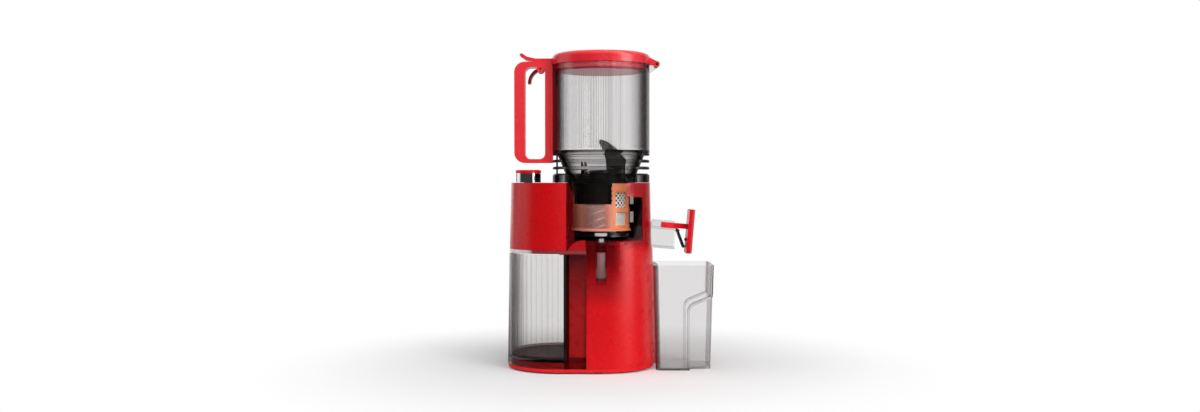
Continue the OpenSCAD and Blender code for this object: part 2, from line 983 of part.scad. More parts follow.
handle_rise = 4.7;
handle_top_z = barrel_top_z + handle_rise;
handle_z = handle_top_z - handle_h;
top_bar_h = 7.6;
low_bar_h = 5.4;
strap_out_x = hopper_r + fit + strap_t;
loop_corner_r = 8;
trigger_out = 6.6;
trigger_x = strap_out_x + trigger_out;
trigger_w = 14;
trigger_r = 3.8;
trigger_t = 4.3;
trigger_arc_r = 20;
trigger_a0 = 103;
trigger_a1 = 183;
trigger_pin_r = 1.5;
trigger_z = handle_top_z - top_bar_h - trigger_r + trigger_pin_r;

module handle() {
    outer_r = grip_t - eps;
    color("firebrick")
        difference() {
            union() {
                upright(grip_w)
                    difference() {
                        intersection() {
                            round_rect(-grip_x, handle_z, 0, handle_top_z, outer_r);
                            translate([-grip_x, handle_z])
                                square([grip_x - bore_r, handle_h]);
                        }
                        round_rect(grip_t - grip_x, handle_z + low_bar_h, -strap_out_x,
                                   handle_top_z - top_bar_h, loop_corner_r);
                    }
                upright(grip_w)
                    translate([-trigger_x, trigger_z])
                        difference() {
                            circle(trigger_r + trigger_pin_r, $fn = 48);
                            translate([-grip_t, top_bar_h + trigger_r])
                                square(2 * grip_t);
                        }
            }
            ring(hopper_r + fit, 0, 0, deck_z + handle_top_z);
            ring(lid_r + 2 * fit, 0, barrel_top_z - fit, deck_z + handle_top_z);
            cross_bar(-trigger_x, trigger_z, trigger_r + trigger_pin_r + fit + run_fit, trigger_w + 2 * fit);
            cross_bar(-trigger_x, trigger_z, trigger_pin_r + run_fit, 2 * grip_w);
        }
}

module trigger_pin() {
    color("silver")
        cross_bar(-trigger_x, trigger_z, trigger_pin_r, grip_w - 2 * fit);
}

module lid_trigger() {
    centre_x = -trigger_x - trigger_arc_r * cos(trigger_a0);
    centre_z = trigger_z - trigger_arc_r * sin(trigger_a0);
    r0 = trigger_arc_r - trigger_t / 2;
    r1 = trigger_arc_r + trigger_t / 2;
    color("darkred")
        difference() {
            union() {
                cross_bar(-trigger_x, trigger_z, trigger_r, trigger_w - 2 * fit);
                upright(trigger_w - 2 * fit)
                    polygon(concat(
                        arc(centre_x, centre_z, r1, trigger_a0, trigger_a1),
                        arc(centre_x, centre_z, r0, trigger_a1, trigger_a0)
                    ));
            }
            cross_bar(-trigger_x, trigger_z, trigger_pin_r + run_fit, 2 * trigger_w);
        }
}

// Lid

lid_wall = 3;
lid_round_r = 7;
tab_w = 18;
tab_t = 4.4;
tab_x = 94;
tab_tip_x = 113;
tab_tip_rise = 7.4;
tab_rise = 0.4;
plug_wall = 2.2;
lid_seal_h = 4;
lid_seal_t = 3.2;

module hinge_pin() {
    color("silver")
        cross_bar(hinge_x, hinge_z, pin_r, ear_w + 2 * lug_w + fit);
}

module lid_tab() {
    z0 = handle_top_z + tab_rise;
    upright(tab_w)
        polygon([
            [lid_wall - lid_r, z0],
            [-tab_x, z0],
            [-(tab_x + tab_tip_x) / 2 - tab_t / 2, z0 + tab_tip_rise / 3],
            [-tab_tip_x, z0 + tab_tip_rise],
            [-tab_tip_x - tab_t / 4, z0 + tab_tip_rise + tab_t * 0.8],
            [tab_t / 2 - tab_tip_x, z0 + tab_tip_rise + tab_t],
            [-(tab_x + tab_tip_x) / 2, z0 + tab_tip_rise / 3 + tab_t],
            [tab_t / 2 - tab_x, z0 + tab_t],
            [lid_wall - lid_r, z0 + tab_t]
        ]);
}

module lid_lugs() {
    for (side = [-1, 1])
        upright(lug_w, side * (ear_w + lug_w + 2 * fit) / 2) {
            polygon([
                [lid_r - lid_wall, lid_z],
                [hinge_x - 0.9 * ear_r, hinge_z - fit],
                [hinge_x, hinge_z],
                [hinge_x, hinge_z + ear_r],
                [lid_r - lid_wall, lid_z + 2.6 * ear_r]
            ]);
            translate([hinge_x, hinge_z])
                circle(ear_r, $fn = 48);
        }
}

module lid() {
    top_r = lid_r - lid_round_r;
    color("firebrick")
        difference() {
            union() {
                rotate_extrude($fn = 96)
                    polygon(concat(
                        [[0, lid_top_z]],
                        arc(top_r, lid_top_z - lid_round_r, lid_round_r, 90, 0),
                        [
                            [lid_r, lid_z],
                            [plug_r + fit, lid_z],
                            [plug_r + fit, lid_z + plug_wall],
                            [lid_r - lid_wall, lid_z + plug_wall],
                            [lid_r - lid_wall, lid_top_z - lid_round_r],
                            [top_r, lid_top_z - lid_wall],
                            [0, lid_top_z - lid_wall]
                        ]
                    ));
                lid_tab();
                lid_lugs();
            }
            cross_bar(hinge_x, hinge_z, pin_r + run_fit, 2 * ear_w);
        }
}

module lid_plug() {
    top_z = lid_top_z - lid_wall - fit;
    color("darkred") {
        rotate_extrude($fn = 96)
            polygon([
                [0, plug_low_z],
                [plug_r - plug_wall, plug_low_z],
                [plug_r, plug_low_z + plug_wall],
                [plug_r, lid_z + plug_wall],
                [plug_r - plug_wall, lid_z + plug_wall],
                [lid_r - lid_round_r - plug_wall, top_z],
                [lid_r - lid_round_r - 2 * plug_wall, top_z],
                [plug_r - 2 * plug_wall, lid_z],
                [plug_r - 2 * plug_wall, plug_low_z + plug_wall],
                [0, plug_low_z + plug_wall]
            ]);
        // the tab that holds the interlock rod down
        block(fit - rod_x - rod_head_r, plug_wall - plug_r, 3 * plug_wall,
              plug_low_z, plug_low_z + plug_wall);
    }
}

module lid_seal() {
    z0 = plug_low_z + plug_wall + fit;
    color("dimgray")
        ring(plug_r + lid_seal_t, plug_r + fit, z0, z0 + lid_seal_h);
}

// Juicing chamber and the strainer in it

chamber_seal_t = 5;

module outlet_tube(grow, x0, x1) {
    in_outlet()
        translate([x0, -spout_w / 2 - grow, -spout_h / 2 - grow])
            cube([x1 - x0, spout_w + 2 * grow, spout_h + 2 * grow]);
}

flap_t = 3.2;
flap_pin_r = 1.1;
flap_barrel_r = 2.4;
flap_hinge_x = spout_l + flap_barrel_r + fit;
flap_hinge_z = spout_h / 2 - spout_wall;
flap_angle = 25;
ear_t = 3;

module flap_ears() {
    for (side = [-1, 1])
        in_outlet()
            upright(ear_t, side * (spout_w / 2 + fit - ear_t / 2)) {
                translate([flap_hinge_x, flap_hinge_z])
                    circle(flap_barrel_r, $fn = 32);
                translate([spout_l - flap_barrel_r, flap_hinge_z - flap_barrel_r])
                    square([2 * flap_barrel_r + fit, 2 * flap_barrel_r]);
            }
}

module chamber() {
    noz_top = chamber_under_z + nozzle_h;
    floor_hole_r = collar_r + chamber_seal_t;
    color("slategray", 0.45)
        difference() {
            union() {
                post(0, 0, chamber_r, chamber_under_z, collar_top_z - fit, 96);
                outlet_tube(0, -spout_back, spout_l);
                block(-nozzle_x, 0, nozzle_w, chamber_under_z, noz_top);
                ring(skirt_mid_r + chamber_wall / 2, skirt_mid_r - chamber_wall / 2,
                     seat_floor_z + seal_h + fit, chamber_under_z + eps);
                flap_ears();
            }
            post(0, 0, throat_r, chamber_floor_z, collar_top_z + eps, 96);
            outlet_tube(-spout_wall, spout_wall - spout_back, spout_l + eps);
            post(0, 0, floor_hole_r, 0, deck_z, 48);
            block(drain_wall - nozzle_x, 0, nozzle_w - 4 * drain_wall,
                  chamber_floor_z, noz_top - chamber_wall);
            drain_box(-drain_wall, 0, chamber_floor_z + eps);
            in_outlet()
                cross_bar(flap_hinge_x, flap_hinge_z, flap_pin_r + run_fit, 2 * spout_w);
        }
}

module chamber_seal() {
    color("dimgray")
        ring(collar_r + chamber_seal_t - fit, collar_r + fit, chamber_under_z, chamber_floor_z, 48);
}

pad_h = 15;
pad_w = 5;
pad_low_shares = [0.17, 0.56];
pad_angles = [0, 120, 240];
strainer_t = 2.8;
mesh_t = 0.6;
flange_r = 42.5;
flange_h = 2.6;
strainer_gap = 3;
strainer_z = sweep_z + sweep_h + strainer_gap;
row_low_share = 0.1;
row_split_share = 0.5;
row_high_share = 0.9;
row_bar_h = 4;
window_fill_share = 0.74;
notch_h = 3.2;

module wiper_pads() {
    color("white")
        for (a = pad_angles, s = pad_low_shares)
            rotate([0, 0, a])
                intersection() {
                    ring(throat_r - fit, strainer_r + fit, strainer_z, collar_top_z);
                    translate([0, 0, strainer_z + s * strainer_h])
                        block(0, throat_r, pad_w, 0, pad_h);
                }
}

// Openings of one row of windows, and the notches of the rim
module window_row(z0, z1, fill) {
    pitch = 360 / window_columns;
    half = strainer_r * sin(pitch * fill / 2);
    for (i = [0:window_columns - 1])
        rotate([0, 0, (i + 0.5) * pitch])
            block(strainer_r / 2, 2 * strainer_r, 2 * half, z0, z1);
}

module strainer_frame() {
    bar = row_bar_h / 2;
    row_z = strainer_z + row_split_share * strainer_h;
    top_z = strainer_z + strainer_h;
    color("orangered")
        difference() {
            union() {
                ring(strainer_r, strainer_r - strainer_t, strainer_z, top_z);
                ring(flange_r, strainer_r - strainer_t, strainer_z, strainer_z + flange_h);
            }
            window_row(strainer_z + row_low_share * strainer_h, row_z - bar, window_fill_share);
            window_row(row_z + bar, strainer_z + row_high_share * strainer_h, window_fill_share);
            window_row(top_z - notch_h, top_z + eps, window_fill_share / 2);
        }
}

module strainer_mesh() {
    r = strainer_r - strainer_t - run_fit;
    color("silver")
        ring(r, r - mesh_t, strainer_z + row_low_share * strainer_h - row_bar_h / 2,
             strainer_z + row_high_share * strainer_h + row_bar_h / 2);
}

// Auger

module auger_sweeper() {
    color("black")
        difference() {
            union() {
                ring(sweep_r, 0, sweep_z, sweep_z + sweep_h);
                for (i = [0:lobe_count - 1])
                    rotate([0, 0, (i + 0.5) * 360 / lobe_count])
                        post(sweep_r + lobe_out - lobe_r, 0, lobe_r, sweep_z, sweep_z + sweep_h, 48);
            }
            post(0, 0, collar_r + 2 * fit, 0, deck_z, 48);
        }
}

ramp_inset = 2.5;
ramp_r = band_r - ramp_inset;
ramp_h_share = 0.61;
ramp_top_z = band_top_z + ramp_h_share * wing_h;
ramp_start = 95;
ramp_end = 358;
ramp_steps = 30;

// Spiral step that lifts the fruit down to the band
module auger_ramp() {
    function height(a) = band_top_z + (ramp_top_z - band_top_z) * (a - ramp_start) / (ramp_end - ramp_start);
    points = [
        for (i = [0:ramp_steps])
            let (
                a = ramp_start + (ramp_end - ramp_start) * i / ramp_steps,
                z = max(height(a), band_top_z + eps)
            )
            each [
                [hub_r / 2 * cos(a), hub_r / 2 * sin(a), band_top_z],
                [hub_r / 2 * cos(a), hub_r / 2 * sin(a), z],
                [ramp_r * cos(a), ramp_r * sin(a), z],
                [ramp_r * cos(a), ramp_r * sin(a), band_top_z]
            ]
    ];
    sides = [
        for (i = [0:ramp_steps - 1], k = [0:3])
            let (p = 4 * i + k, q = 4 * i + (k + 1) % 4)
            each [[p, p + 4, q], [q, p + 4, q + 4]]
    ];
    polyhedron(points, concat(sides, [[0, 1, 2, 3], [for (k = [3:-1:0]) 4 * ramp_steps + k]]));
}

hub_h_share = 0.53;
wing_t = 8;
wing_shares = [
    [0.3, 0], [0.93, 0], [0.95, 0.61], [0.99, 0.66], [0.97, 0.7], [0.875, 0.74], [0.7, 0.83],
    [0.47, 0.91], [0.25, 0.965], [0.04, 1], [-0.05, 1], [-0.08, 0.975], [-0.06, 0.94], [0.04, 0.86],
    [0.13, 0.77], [0.19, 0.68], [0.21, 0.56], [0.21, 0.46]
];
hub_rim_h = 3.5;

module auger_body() {
    hub_top_z = band_top_z + hub_h_share * wing_h;
    color("black")
        difference() {
            union() {
                rotate_extrude($fn = 96)
                    polygon([
                        [0, auger_z],
                        [band_r - band_t, auger_z],
                        [band_r - band_t, band_z - run_fit],
                        [band_r - 2 * band_t, band_z - run_fit],
                        [band_r - 2 * band_t, band_top_z],
                        [shoulder_r, band_top_z],
                        [shoulder_r, band_top_z + hub_rim_h],
                        [hub_r, band_top_z + 2 * hub_rim_h],
                        [hub_r, hub_top_z - hub_rim_h],
                        [hub_r + band_t, hub_top_z - hub_rim_h],
                        [hub_r + band_t, hub_top_z - band_t],
                        [hub_r, hub_top_z],
                        [0, hub_top_z]
                    ]);
                auger_ramp();
                upright(wing_t, -wing_t / 2 + band_t)
                    polygon([for (s = wing_shares) [s[0] * band_r, band_top_z + s[1] * wing_h]]);
            }
            post(0, 0, hex_w / 2 + fit, 0, shaft_collar_top_z + hex_h + fit, 6);
        }
}

module auger_band() {
    color("silver") {
        ring(band_r - rib_t, band_r - 2 * band_t + run_fit, band_z, band_top_z - run_fit);
        translate([0, 0, band_z])
            linear_extrude(band_h - 2 * run_fit, twist = rib_turn, slices = 10)
                for (i = [0:band_ribs - 1])
                    rotate(i * 360 / band_ribs)
                        translate([band_r - rib_t - band_t / 2, -rib_w / 2])
                            polygon([
                                [0, 0],
                                [band_t / 2 + rib_t / 2, 0],
                                [band_t / 2 + rib_t, rib_w * 0.3],
                                [band_t / 2 + rib_t, rib_w * 0.7],
                                [band_t / 2 + rib_t / 2, rib_w],
                                [0, rib_w]
                            ]);
    }
}

// Pulp outlet: rail, lever, spring and flap

rail_x0 = 25;
rail_x1 = 58;
rail_t = 2.4;
arm_w = 16;
arm_h = 7;
arm_x0 = 39.5;
rail_z = spout_h / 2;
arm_z = rail_z + fit;
window_x0 = 42;
window_l = 12;
window_w = 8;
stop_t = 1.8;
plate_x = 76.5;
plate_t = 5;
plate_bulge = 4.4;
plate_low = 37;
push_r = 2;
push_l = 2.5;

module lever_rail() {
    side_y = arm_w + 2 * fit;
    color("lightsteelblue", 0.5)
        in_outlet() {
            difference() {
                block(rail_x0, rail_x1, side_y + 2 * rail_t, rail_z, arm_z + arm_h + fit + rail_t);
                block(rail_x0 + rail_t, rail_x1 + eps, side_y, 0, arm_z + arm_h + fit);
                block(arm_x0 - rail_t, rail_x1 + eps, side_y - 2 * rail_t, 0, deck_z);
            }
            block(window_x0 + window_l - stop_t - fit, window_x0 + window_l - fit, window_w - 2 * fit,
                  rail_z, arm_z + arm_h);
        }
}

lever_wire = 0.5;
lever_turns = 5;
module lever_spring() {
    l = window_l - stop_t - 3 * fit - 2 * lever_wire;
    r = arm_h / 2 - lever_wire - fit;
    echo(lever_spring_least_gap = coil_gap(r, lever_wire, l, lever_turns));
    color("white")
        in_outlet()
            translate([window_x0 + fit + lever_wire, 0, arm_z + arm_h / 2])
                rotate([0, 90, 0])
                    coil(r, lever_wire, l, lever_turns);
}

module pulp_lever() {
    mid_z = arm_z + arm_h / 2;
    color("firebrick")
        in_outlet() {
            difference() {
                block(arm_x0, plate_x + eps, arm_w, arm_z, arm_z + arm_h);
                block(window_x0, window_x0 + window_l, window_w, 0, deck_z);
            }
            translate([plate_x, 0, -plate_low + mid_z])
                linear_extrude(plate_h)
                    intersection() {
                        translate([plate_t + plate_bulge - plate_w * 1.2, 0])
                            circle(plate_w * 1.2, $fn = 96);
                        translate([0, -plate_w / 2])
                            square([plate_t + plate_bulge, plate_w]);
                    }
            translate([plate_x - push_l, 0, 0])
                rotate([0, 90, 0])
                    cylinder(h = push_l + eps, r = push_r, $fn = 32);
        }
}

module flap_pin() {
    color("silver")
        in_outlet()
            cross_bar(flap_hinge_x, flap_hinge_z, flap_pin_r, spout_w);
}

module pulp_flap() {
    barrel_w = spout_w - 2 * ear_t - 2 * fit;
    color("black")
        in_outlet()
            translate([flap_hinge_x, 0, flap_hinge_z])
                rotate([0, -flap_angle, 0])
                    difference() {
                        union() {
                            cross_bar(0, 0, flap_barrel_r, barrel_w);
                            block(-flap_t / 2, flap_t / 2, barrel_w, -flap_l, 0);
                        }
                        cross_bar(0, 0, flap_pin_r + run_fit, 2 * spout_w);
                    }
}

// Pulp cup

cup_x0 = 72;
cup_corner_r = 12;
cup_taper = 0.905;
cup_floor_t = 3;
recess_inset = 34;
recess_x = cup_x0 + cup_l - recess_inset;
recess_depth = 20;
recess_h = 91;
recess_slope = 23;
recess_corner_r = 11;

// Plan outline of the cup, drawn in by an amount
module cup_outline(inset) {
    difference() {
        round_rect(cup_x0 + inset, inset - cup_w / 2, cup_x0 + cup_l - inset, cup_w / 2 - inset,
                   cup_corner_r - inset);
        circle(body_low_r + cup_gap + inset, $fn = 96);
    }
}

module cup_body(inset, z0) {
    mid_x = cup_x0 + cup_l / 2;
    translate([mid_x, 0, cup_h])
        mirror([0, 0, 1])
            linear_extrude(cup_h - z0, scale = cup_taper)
                translate([-mid_x, 0])
                    cup_outline(inset);
}

// Finger recess in each side: upright at its inner edge, with a round corner to a rising top
module cup_recess(grow) {
    r = recess_corner_r + grow;
    corner_x = recess_x + recess_corner_r;
    corner_z = recess_h - recess_corner_r;
    for (side = [0, 1])
        mirror([0, side, 0])
            upright(cup_w, cup_w - recess_depth - grow)
                polygon(concat(
                    [[recess_x - grow, -eps]],
                    arc(corner_x, corner_z, r, 180, 90 + recess_slope),
                    [
                        [corner_x + cup_l, corner_z + r / cos(recess_slope)
                            + cup_l * tan(recess_slope)],
                        [corner_x + cup_l, -eps]
                    ]
                ));
}

module pulp_cup() {
    color("slategray", 0.45)
        difference() {
            cup_body(0, 0);
            cup_recess(0);
            difference() {
                cup_body(cup_wall, cup_floor_t);
                cup_recess(cup_wall);
            }
            translate([0, 0, cup_h - eps])
                linear_extrude(2 * eps)
                    cup_outline(cup_wall);
        }
}

main_housing();
base_tray();
feet();
trim_plate();
chamber_seat();
seat_seal();
seat_screws();
safety_switch();
juice_chute();
chute_gasket();
gearbox_case();
motor_can();
shaft_bearing();
control_board();
rotary_switch();
cord_gland();
drive_shaft();
output_gear();
shaft_collar();
knob_ring();
knob_cap();
knob_stem();
juice_container();
hopper();
hopper_barrel();
hopper_guide();
interlock_rod();
interlock_spring();
handle();
trigger_pin();
hinge_pin();
lid_trigger();
lid();
lid_plug();
lid_seal();
chamber();
chamber_seal();
wiper_pads();
strainer_frame();
strainer_mesh();
auger_body();
auger_band();
auger_sweeper();
lever_rail();
lever_spring();
pulp_lever();
flap_pin();
pulp_flap();
pulp_cup();
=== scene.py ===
# Cold press juicer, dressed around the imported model.
# Metres, Z up, in the row frame: X runs from the knob to the pulp outlet, and the viewer looks along +Y.
import json
import math

import bmesh
import bpy
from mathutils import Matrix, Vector

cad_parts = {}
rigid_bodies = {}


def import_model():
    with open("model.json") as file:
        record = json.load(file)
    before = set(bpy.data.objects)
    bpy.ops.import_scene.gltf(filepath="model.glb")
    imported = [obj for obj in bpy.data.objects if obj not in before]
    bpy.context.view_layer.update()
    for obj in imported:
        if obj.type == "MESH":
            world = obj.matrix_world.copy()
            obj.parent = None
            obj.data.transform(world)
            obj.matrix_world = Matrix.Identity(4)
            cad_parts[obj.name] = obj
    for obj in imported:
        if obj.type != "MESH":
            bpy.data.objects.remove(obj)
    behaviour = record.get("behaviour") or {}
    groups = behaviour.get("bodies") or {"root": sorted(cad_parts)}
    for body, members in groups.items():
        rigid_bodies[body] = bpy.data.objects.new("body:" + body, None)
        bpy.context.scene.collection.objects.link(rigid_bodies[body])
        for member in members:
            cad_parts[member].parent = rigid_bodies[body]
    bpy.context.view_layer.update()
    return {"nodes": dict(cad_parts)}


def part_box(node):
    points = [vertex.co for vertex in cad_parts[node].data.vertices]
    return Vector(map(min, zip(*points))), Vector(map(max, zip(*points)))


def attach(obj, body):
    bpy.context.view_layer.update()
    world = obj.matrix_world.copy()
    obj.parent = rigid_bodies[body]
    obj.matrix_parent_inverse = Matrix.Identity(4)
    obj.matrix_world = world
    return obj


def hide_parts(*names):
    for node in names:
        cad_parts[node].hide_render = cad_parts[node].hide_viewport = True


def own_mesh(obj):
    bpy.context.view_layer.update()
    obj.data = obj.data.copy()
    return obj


for old in list(bpy.data.objects):
    bpy.data.objects.remove(old)

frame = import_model()
nodes = frame["nodes"]


MM = 0.001


def srgb(r, g, b):
    """A colour written as in a paint program, 0 to 255, as linear light with alpha."""
    return tuple(
        (v / 255 / 12.92 if v <= 10 else ((v / 255 + 0.055) / 1.055) ** 2.4) for v in (r, g, b)
    ) + (1.0,)


# Node graphs


class Graph:
    """Short calls that add nodes to a tree and join them."""

    def __init__(self, tree):
        self.tree = tree
        tree.nodes.clear()

    def node(self, kind, **values):
        made = self.tree.nodes.new(kind)
        for key, value in values.items():
            setattr(made, key, value)
        return made

    def put(self, socket, value):
        """Joins a socket to another one, or sets it to a plain value."""
        if isinstance(value, bpy.types.NodeSocket):
            self.tree.links.new(value, socket)
        else:
            socket.default_value = value

    def math(self, op, *values):
        made = self.node("ShaderNodeMath", operation=op)
        for socket, value in zip(made.inputs, values):
            self.put(socket, value)
        return made.outputs[0]

    def fold(self, op, values):
        made = values[0]
        for value in values[1:]:
            made = self.math(op, made, value)
        return made

    def every(self, *shares):
        """The product of some shares: 1 where all are 1."""
        return self.fold("MULTIPLY", shares)

    def any(self, *shares):
        """The largest of some shares."""
        return self.fold("MAXIMUM", shares)

    def invert(self, share):
        return self.math("SUBTRACT", 1.0, share)

    def length(self, x, y):
        return self.math("SQRT", self.math("ADD", self.math("MULTIPLY", x, x), self.math("MULTIPLY", y, y)))

    def ramp(self, value, low, high, start, end, kind="LINEAR"):
        """A value carried from start at low to end at high, and held outside. Low may be the larger."""
        made = self.node("ShaderNodeMapRange", interpolation_type=kind)
        places = ("Value", "From Min", "From Max", "To Min", "To Max")
        for place, given in zip(places, (value, low, high, start, end)):
            self.put(made.inputs[place], given)
        return made.outputs[0]

    def rise(self, value, low, high, start=0.0, end=1.0):
        """The same as a smooth step. A named pair of places often gives low and high."""
        return self.ramp(value, low, high, start, end, "SMOOTHSTEP")

    def span(self, value, low, high, soft):
        """1 between low and high, 0 outside, with soft edges."""
        past_low = self.rise(value, low - soft, low + soft)
        before_high = self.rise(value, high - soft, high + soft, 1.0, 0.0)
        return self.every(past_low, before_high)

    def mix(self, share, one, two):
        """One number where the share is 0, the other where it is 1."""
        made = self.node("ShaderNodeMix", data_type="FLOAT")
        for i, value in ((0, share), (2, one), (3, two)):
            self.put(made.inputs[i], value)
        return made.outputs[0]

    def blend(self, share, one, two):
        """One colour where the share is 0, the other where it is 1."""
        made = self.node("ShaderNodeMix", data_type="RGBA")
        for i, value in ((0, share), (6, one), (7, two)):
            self.put(made.inputs[i], value)
        return made.outputs[2]


class Shader(Graph):
    """A material in the making, around one Principled shader."""

    def __init__(self, name, colour, rough, **fixed):
        self.mat = bpy.data.materials.new(name)
        self.mat.use_nodes = True
        super().__init__(self.mat.node_tree)
        self.out = self.node("ShaderNodeOutputMaterial")
        self.face = self.node("ShaderNodeBsdfPrincipled")
        self.surface(self.face.outputs[0])
        self.colour(colour)
        self.rough(rough)
        for key, value in fixed.items():
            self.put(self.face.inputs[key.replace("_", " ")], value)
        self.at = self.node("ShaderNodeTexCoord").outputs["Object"]
        split = self.node("ShaderNodeSeparateXYZ")
        self.put(split.inputs[0], self.at)
        self.x, self.y, self.z = split.outputs

    def surface(self, shader):
        self.put(self.out.inputs["Surface"], shader)

    def colour(self, value):
        self.put(self.face.inputs["Base Color"], value)

    def rough(self, value):
        self.put(self.face.inputs["Roughness"], value)

    def metallic(self, value):
        self.put(self.face.inputs["Metallic"], value)

    def fade(self, share):
        """Takes a share of the surface away."""
        self.put(self.face.inputs["Alpha"], self.invert(share))

    def ray(self, kind):
        return self.node("ShaderNodeLightPath").outputs["Is %s Ray" % kind]

    def either(self, share, one, two):
        """One shader where the share is 0, the other where it is 1."""
        made = self.node("ShaderNodeMixShader")
        for socket, value in zip(made.inputs, (share, one, two)):
            self.put(socket, value)
        self.surface(made.outputs[0])

    def scaled(self, scale):
        made = self.node("ShaderNodeMapping")
        self.put(made.inputs["Vector"], self.at)
        self.put(made.inputs["Scale"], scale)
        return made.outputs[0]

    def noise(self, size, detail, at=None):
        """Noise of about a feature size in metres."""
        made = self.node("ShaderNodeTexNoise")
        self.put(made.inputs["Vector"], at or self.at)
        self.put(made.inputs["Scale"], 1.0 / size)
        self.put(made.inputs["Detail"], detail)
        return made.outputs["Fac"]

    def relief(self, height, depth):
        """A bump of a real depth in metres."""
        made = self.node("ShaderNodeBump")
        self.put(made.inputs["Distance"], depth)
        self.put(made.inputs["Height"], height)
        self.put(self.face.inputs["Normal"], made.outputs[0])

    def mottle(self, colour, spread, size):
        """Colour that wanders a little about its mean, as moulded plastic does."""
        low = tuple(c * (1 - spread) for c in colour[:3]) + (1.0,)
        high = tuple(min(1.0, c * (1 + spread)) for c in colour[:3]) + (1.0,)
        return self.blend(self.rise(self.noise(size, 3.0), 0.3, 0.7), low, high)


# Kinds of material


def plastic(name, colour, rough, spread=0.05, grain=0.5, depth=0.02, gloss=0.5):
    """Moulded plastic or rubber: slight colour drift, uneven gloss, and a fine moulded grain in mm."""
    drift_size, patch_size = 30 * MM, 14 * MM
    smoothest, roughest = rough * 0.94, rough * 1.07
    s = Shader(name, colour, rough, Specular_IOR_Level=gloss)
    s.tint = s.mottle(colour, spread, drift_size)
    s.colour(s.tint)
    s.rough(s.rise(s.noise(patch_size, 2.0), 0.25, 0.75, smoothest, roughest))
    s.relief(s.noise(grain * MM, 2.0), depth * MM)
    return s


def metal(name, colour, rough, metallic=1.0, stretch=(1.0, 1.0, 1.0), line=0.12, depth=0.006):
    """Worked metal: fine tool lines in gloss and relief, in mm, long where the stretch is small."""
    spread, drift_size = 0.06, 14 * MM
    smoothest, roughest = rough * 0.75, rough * 1.3
    s = Shader(name, colour, rough, Metallic=metallic)
    lines = s.noise(line * MM, 2.0, s.scaled(stretch))
    s.colour(s.mottle(colour, spread, drift_size))
    s.rough(s.rise(lines, 0.3, 0.7, smoothest, roughest))
    s.relief(lines, depth * MM)
    return s


SMOKE_TINT = (0.89, 0.884, 0.883, 1.0)
SMOKE_LIMB = (0.035, 0.025, 0.025, 1.0)
CLEAR_TINT = (0.87, 0.86, 0.855, 1.0)
INNER_COLOUR = (0.30, 0.30, 0.31, 1.0)
INNER_DENSITY = 20.0
SHADOW_FILM = (0.90, 0.89, 0.89, 1.0)


def glass(name, tint, limb, rough=0.03, ior=1.22, wave=0.004):
    """Clear moulded plastic, darker towards its limbs, where a wall is seen along its length:
    the longer path darkens it, and so does a painted dark reflection.

    Wave is the depth in mm of the wall's slight unevenness, or 0 for a fine even piece.
    """
    limb_slant = (0.20, 0.62)
    patch_size, wave_size = 12 * MM, 9 * MM
    smoothest, roughest = rough * 0.6, rough * 1.6
    s = Shader(name, tint, rough, Transmission_Weight=1.0, IOR=ior, Specular_IOR_Level=0.3)
    slant = s.node("ShaderNodeLayerWeight")
    s.put(slant.inputs["Blend"], 0.5)
    # Painted dark reflection at the limbs, together with the longer path's darkening.
    s.clear = s.blend(s.rise(slant.outputs["Facing"], *limb_slant), tint, limb)
    s.colour(s.clear)
    if wave:
        s.rough(s.rise(s.noise(patch_size, 3.0), 0.25, 0.75, smoothest, roughest))
        s.relief(s.noise(wave_size, 1.0), wave * MM)
    inside = s.node("ShaderNodeVolumeAbsorption")
    s.put(inside.inputs["Color"], INNER_COLOUR)
    s.put(inside.inputs["Density"], INNER_DENSITY)
    s.put(s.out.inputs["Volume"], inside.outputs[0])
    # Lamps reach what stands behind the plastic: shadows pass it as through a grey film.
    film = s.node("ShaderNodeBsdfTransparent")
    s.put(film.inputs["Color"], SHADOW_FILM)
    s.either(s.ray("Shadow"), s.face.outputs[0], film.outputs[0])
    return s


def dress(shader, *names):
    for name in names:
        for place in nodes[name].material_slots:
            place.material = shader.mat


# Name, colour, roughness, colour drift, grain and its depth in mm, specular level, and what wears it.
PLASTICS = (
    ("tray_red", (236, 14, 24), 0.34, 0.04, 0.5, 0.010, 0.50, "base_tray"),
    ("gloss_red", (214, 12, 26), 0.24, 0.03, 0.6, 0.006, 0.42, "knob_cap juice_chute"),
    # The handle's red is paler and pinker than the housing's: painted sheen.
    ("handle_red_painted_sheen", (238, 46, 56), 0.26, 0.03, 0.6, 0.006, 0.42, "handle"),
    ("lid_red", (224, 36, 48), 0.26, 0.03, 0.6, 0.006, 0.50, "lid"),
    ("lever_red", (222, 16, 28), 0.34, 0.03, 0.6, 0.006, 0.10, "pulp_lever"),
    ("plug_red", (186, 46, 58), 0.30, 0.04, 0.6, 0.006, 0.50, "lid_plug lid_seal"),
    ("dark_red", (118, 12, 24), 0.34, 0.06, 0.5, 0.010, 0.50, "lid_trigger"),
    ("bearing_red", (96, 14, 20), 0.30, 0.08, 0.6, 0.010, 0.50, "shaft_bearing"),
    ("black_part", (20, 19, 20), 0.20, 0.15, 0.6, 0.010, 0.50,
     "rotary_switch safety_switch knob_stem interlock_rod"),
    ("board", (20, 78, 40), 0.40, 0.05, 0.5, 0.020, 0.50, "control_board"),
    ("black_rubber", (20, 20, 22), 0.62, 0.12, 0.35, 0.050, 0.50, "feet cord_gland pulp_flap"),
    ("grey_rubber", (34, 34, 36), 0.62, 0.12, 0.35, 0.050, 0.50, "chute_gasket"),
)
for name, colour, rough, spread, grain, depth, gloss, worn in PLASTICS:
    dress(plastic(name, srgb(*colour), rough, spread, grain, depth, gloss), *worn.split())

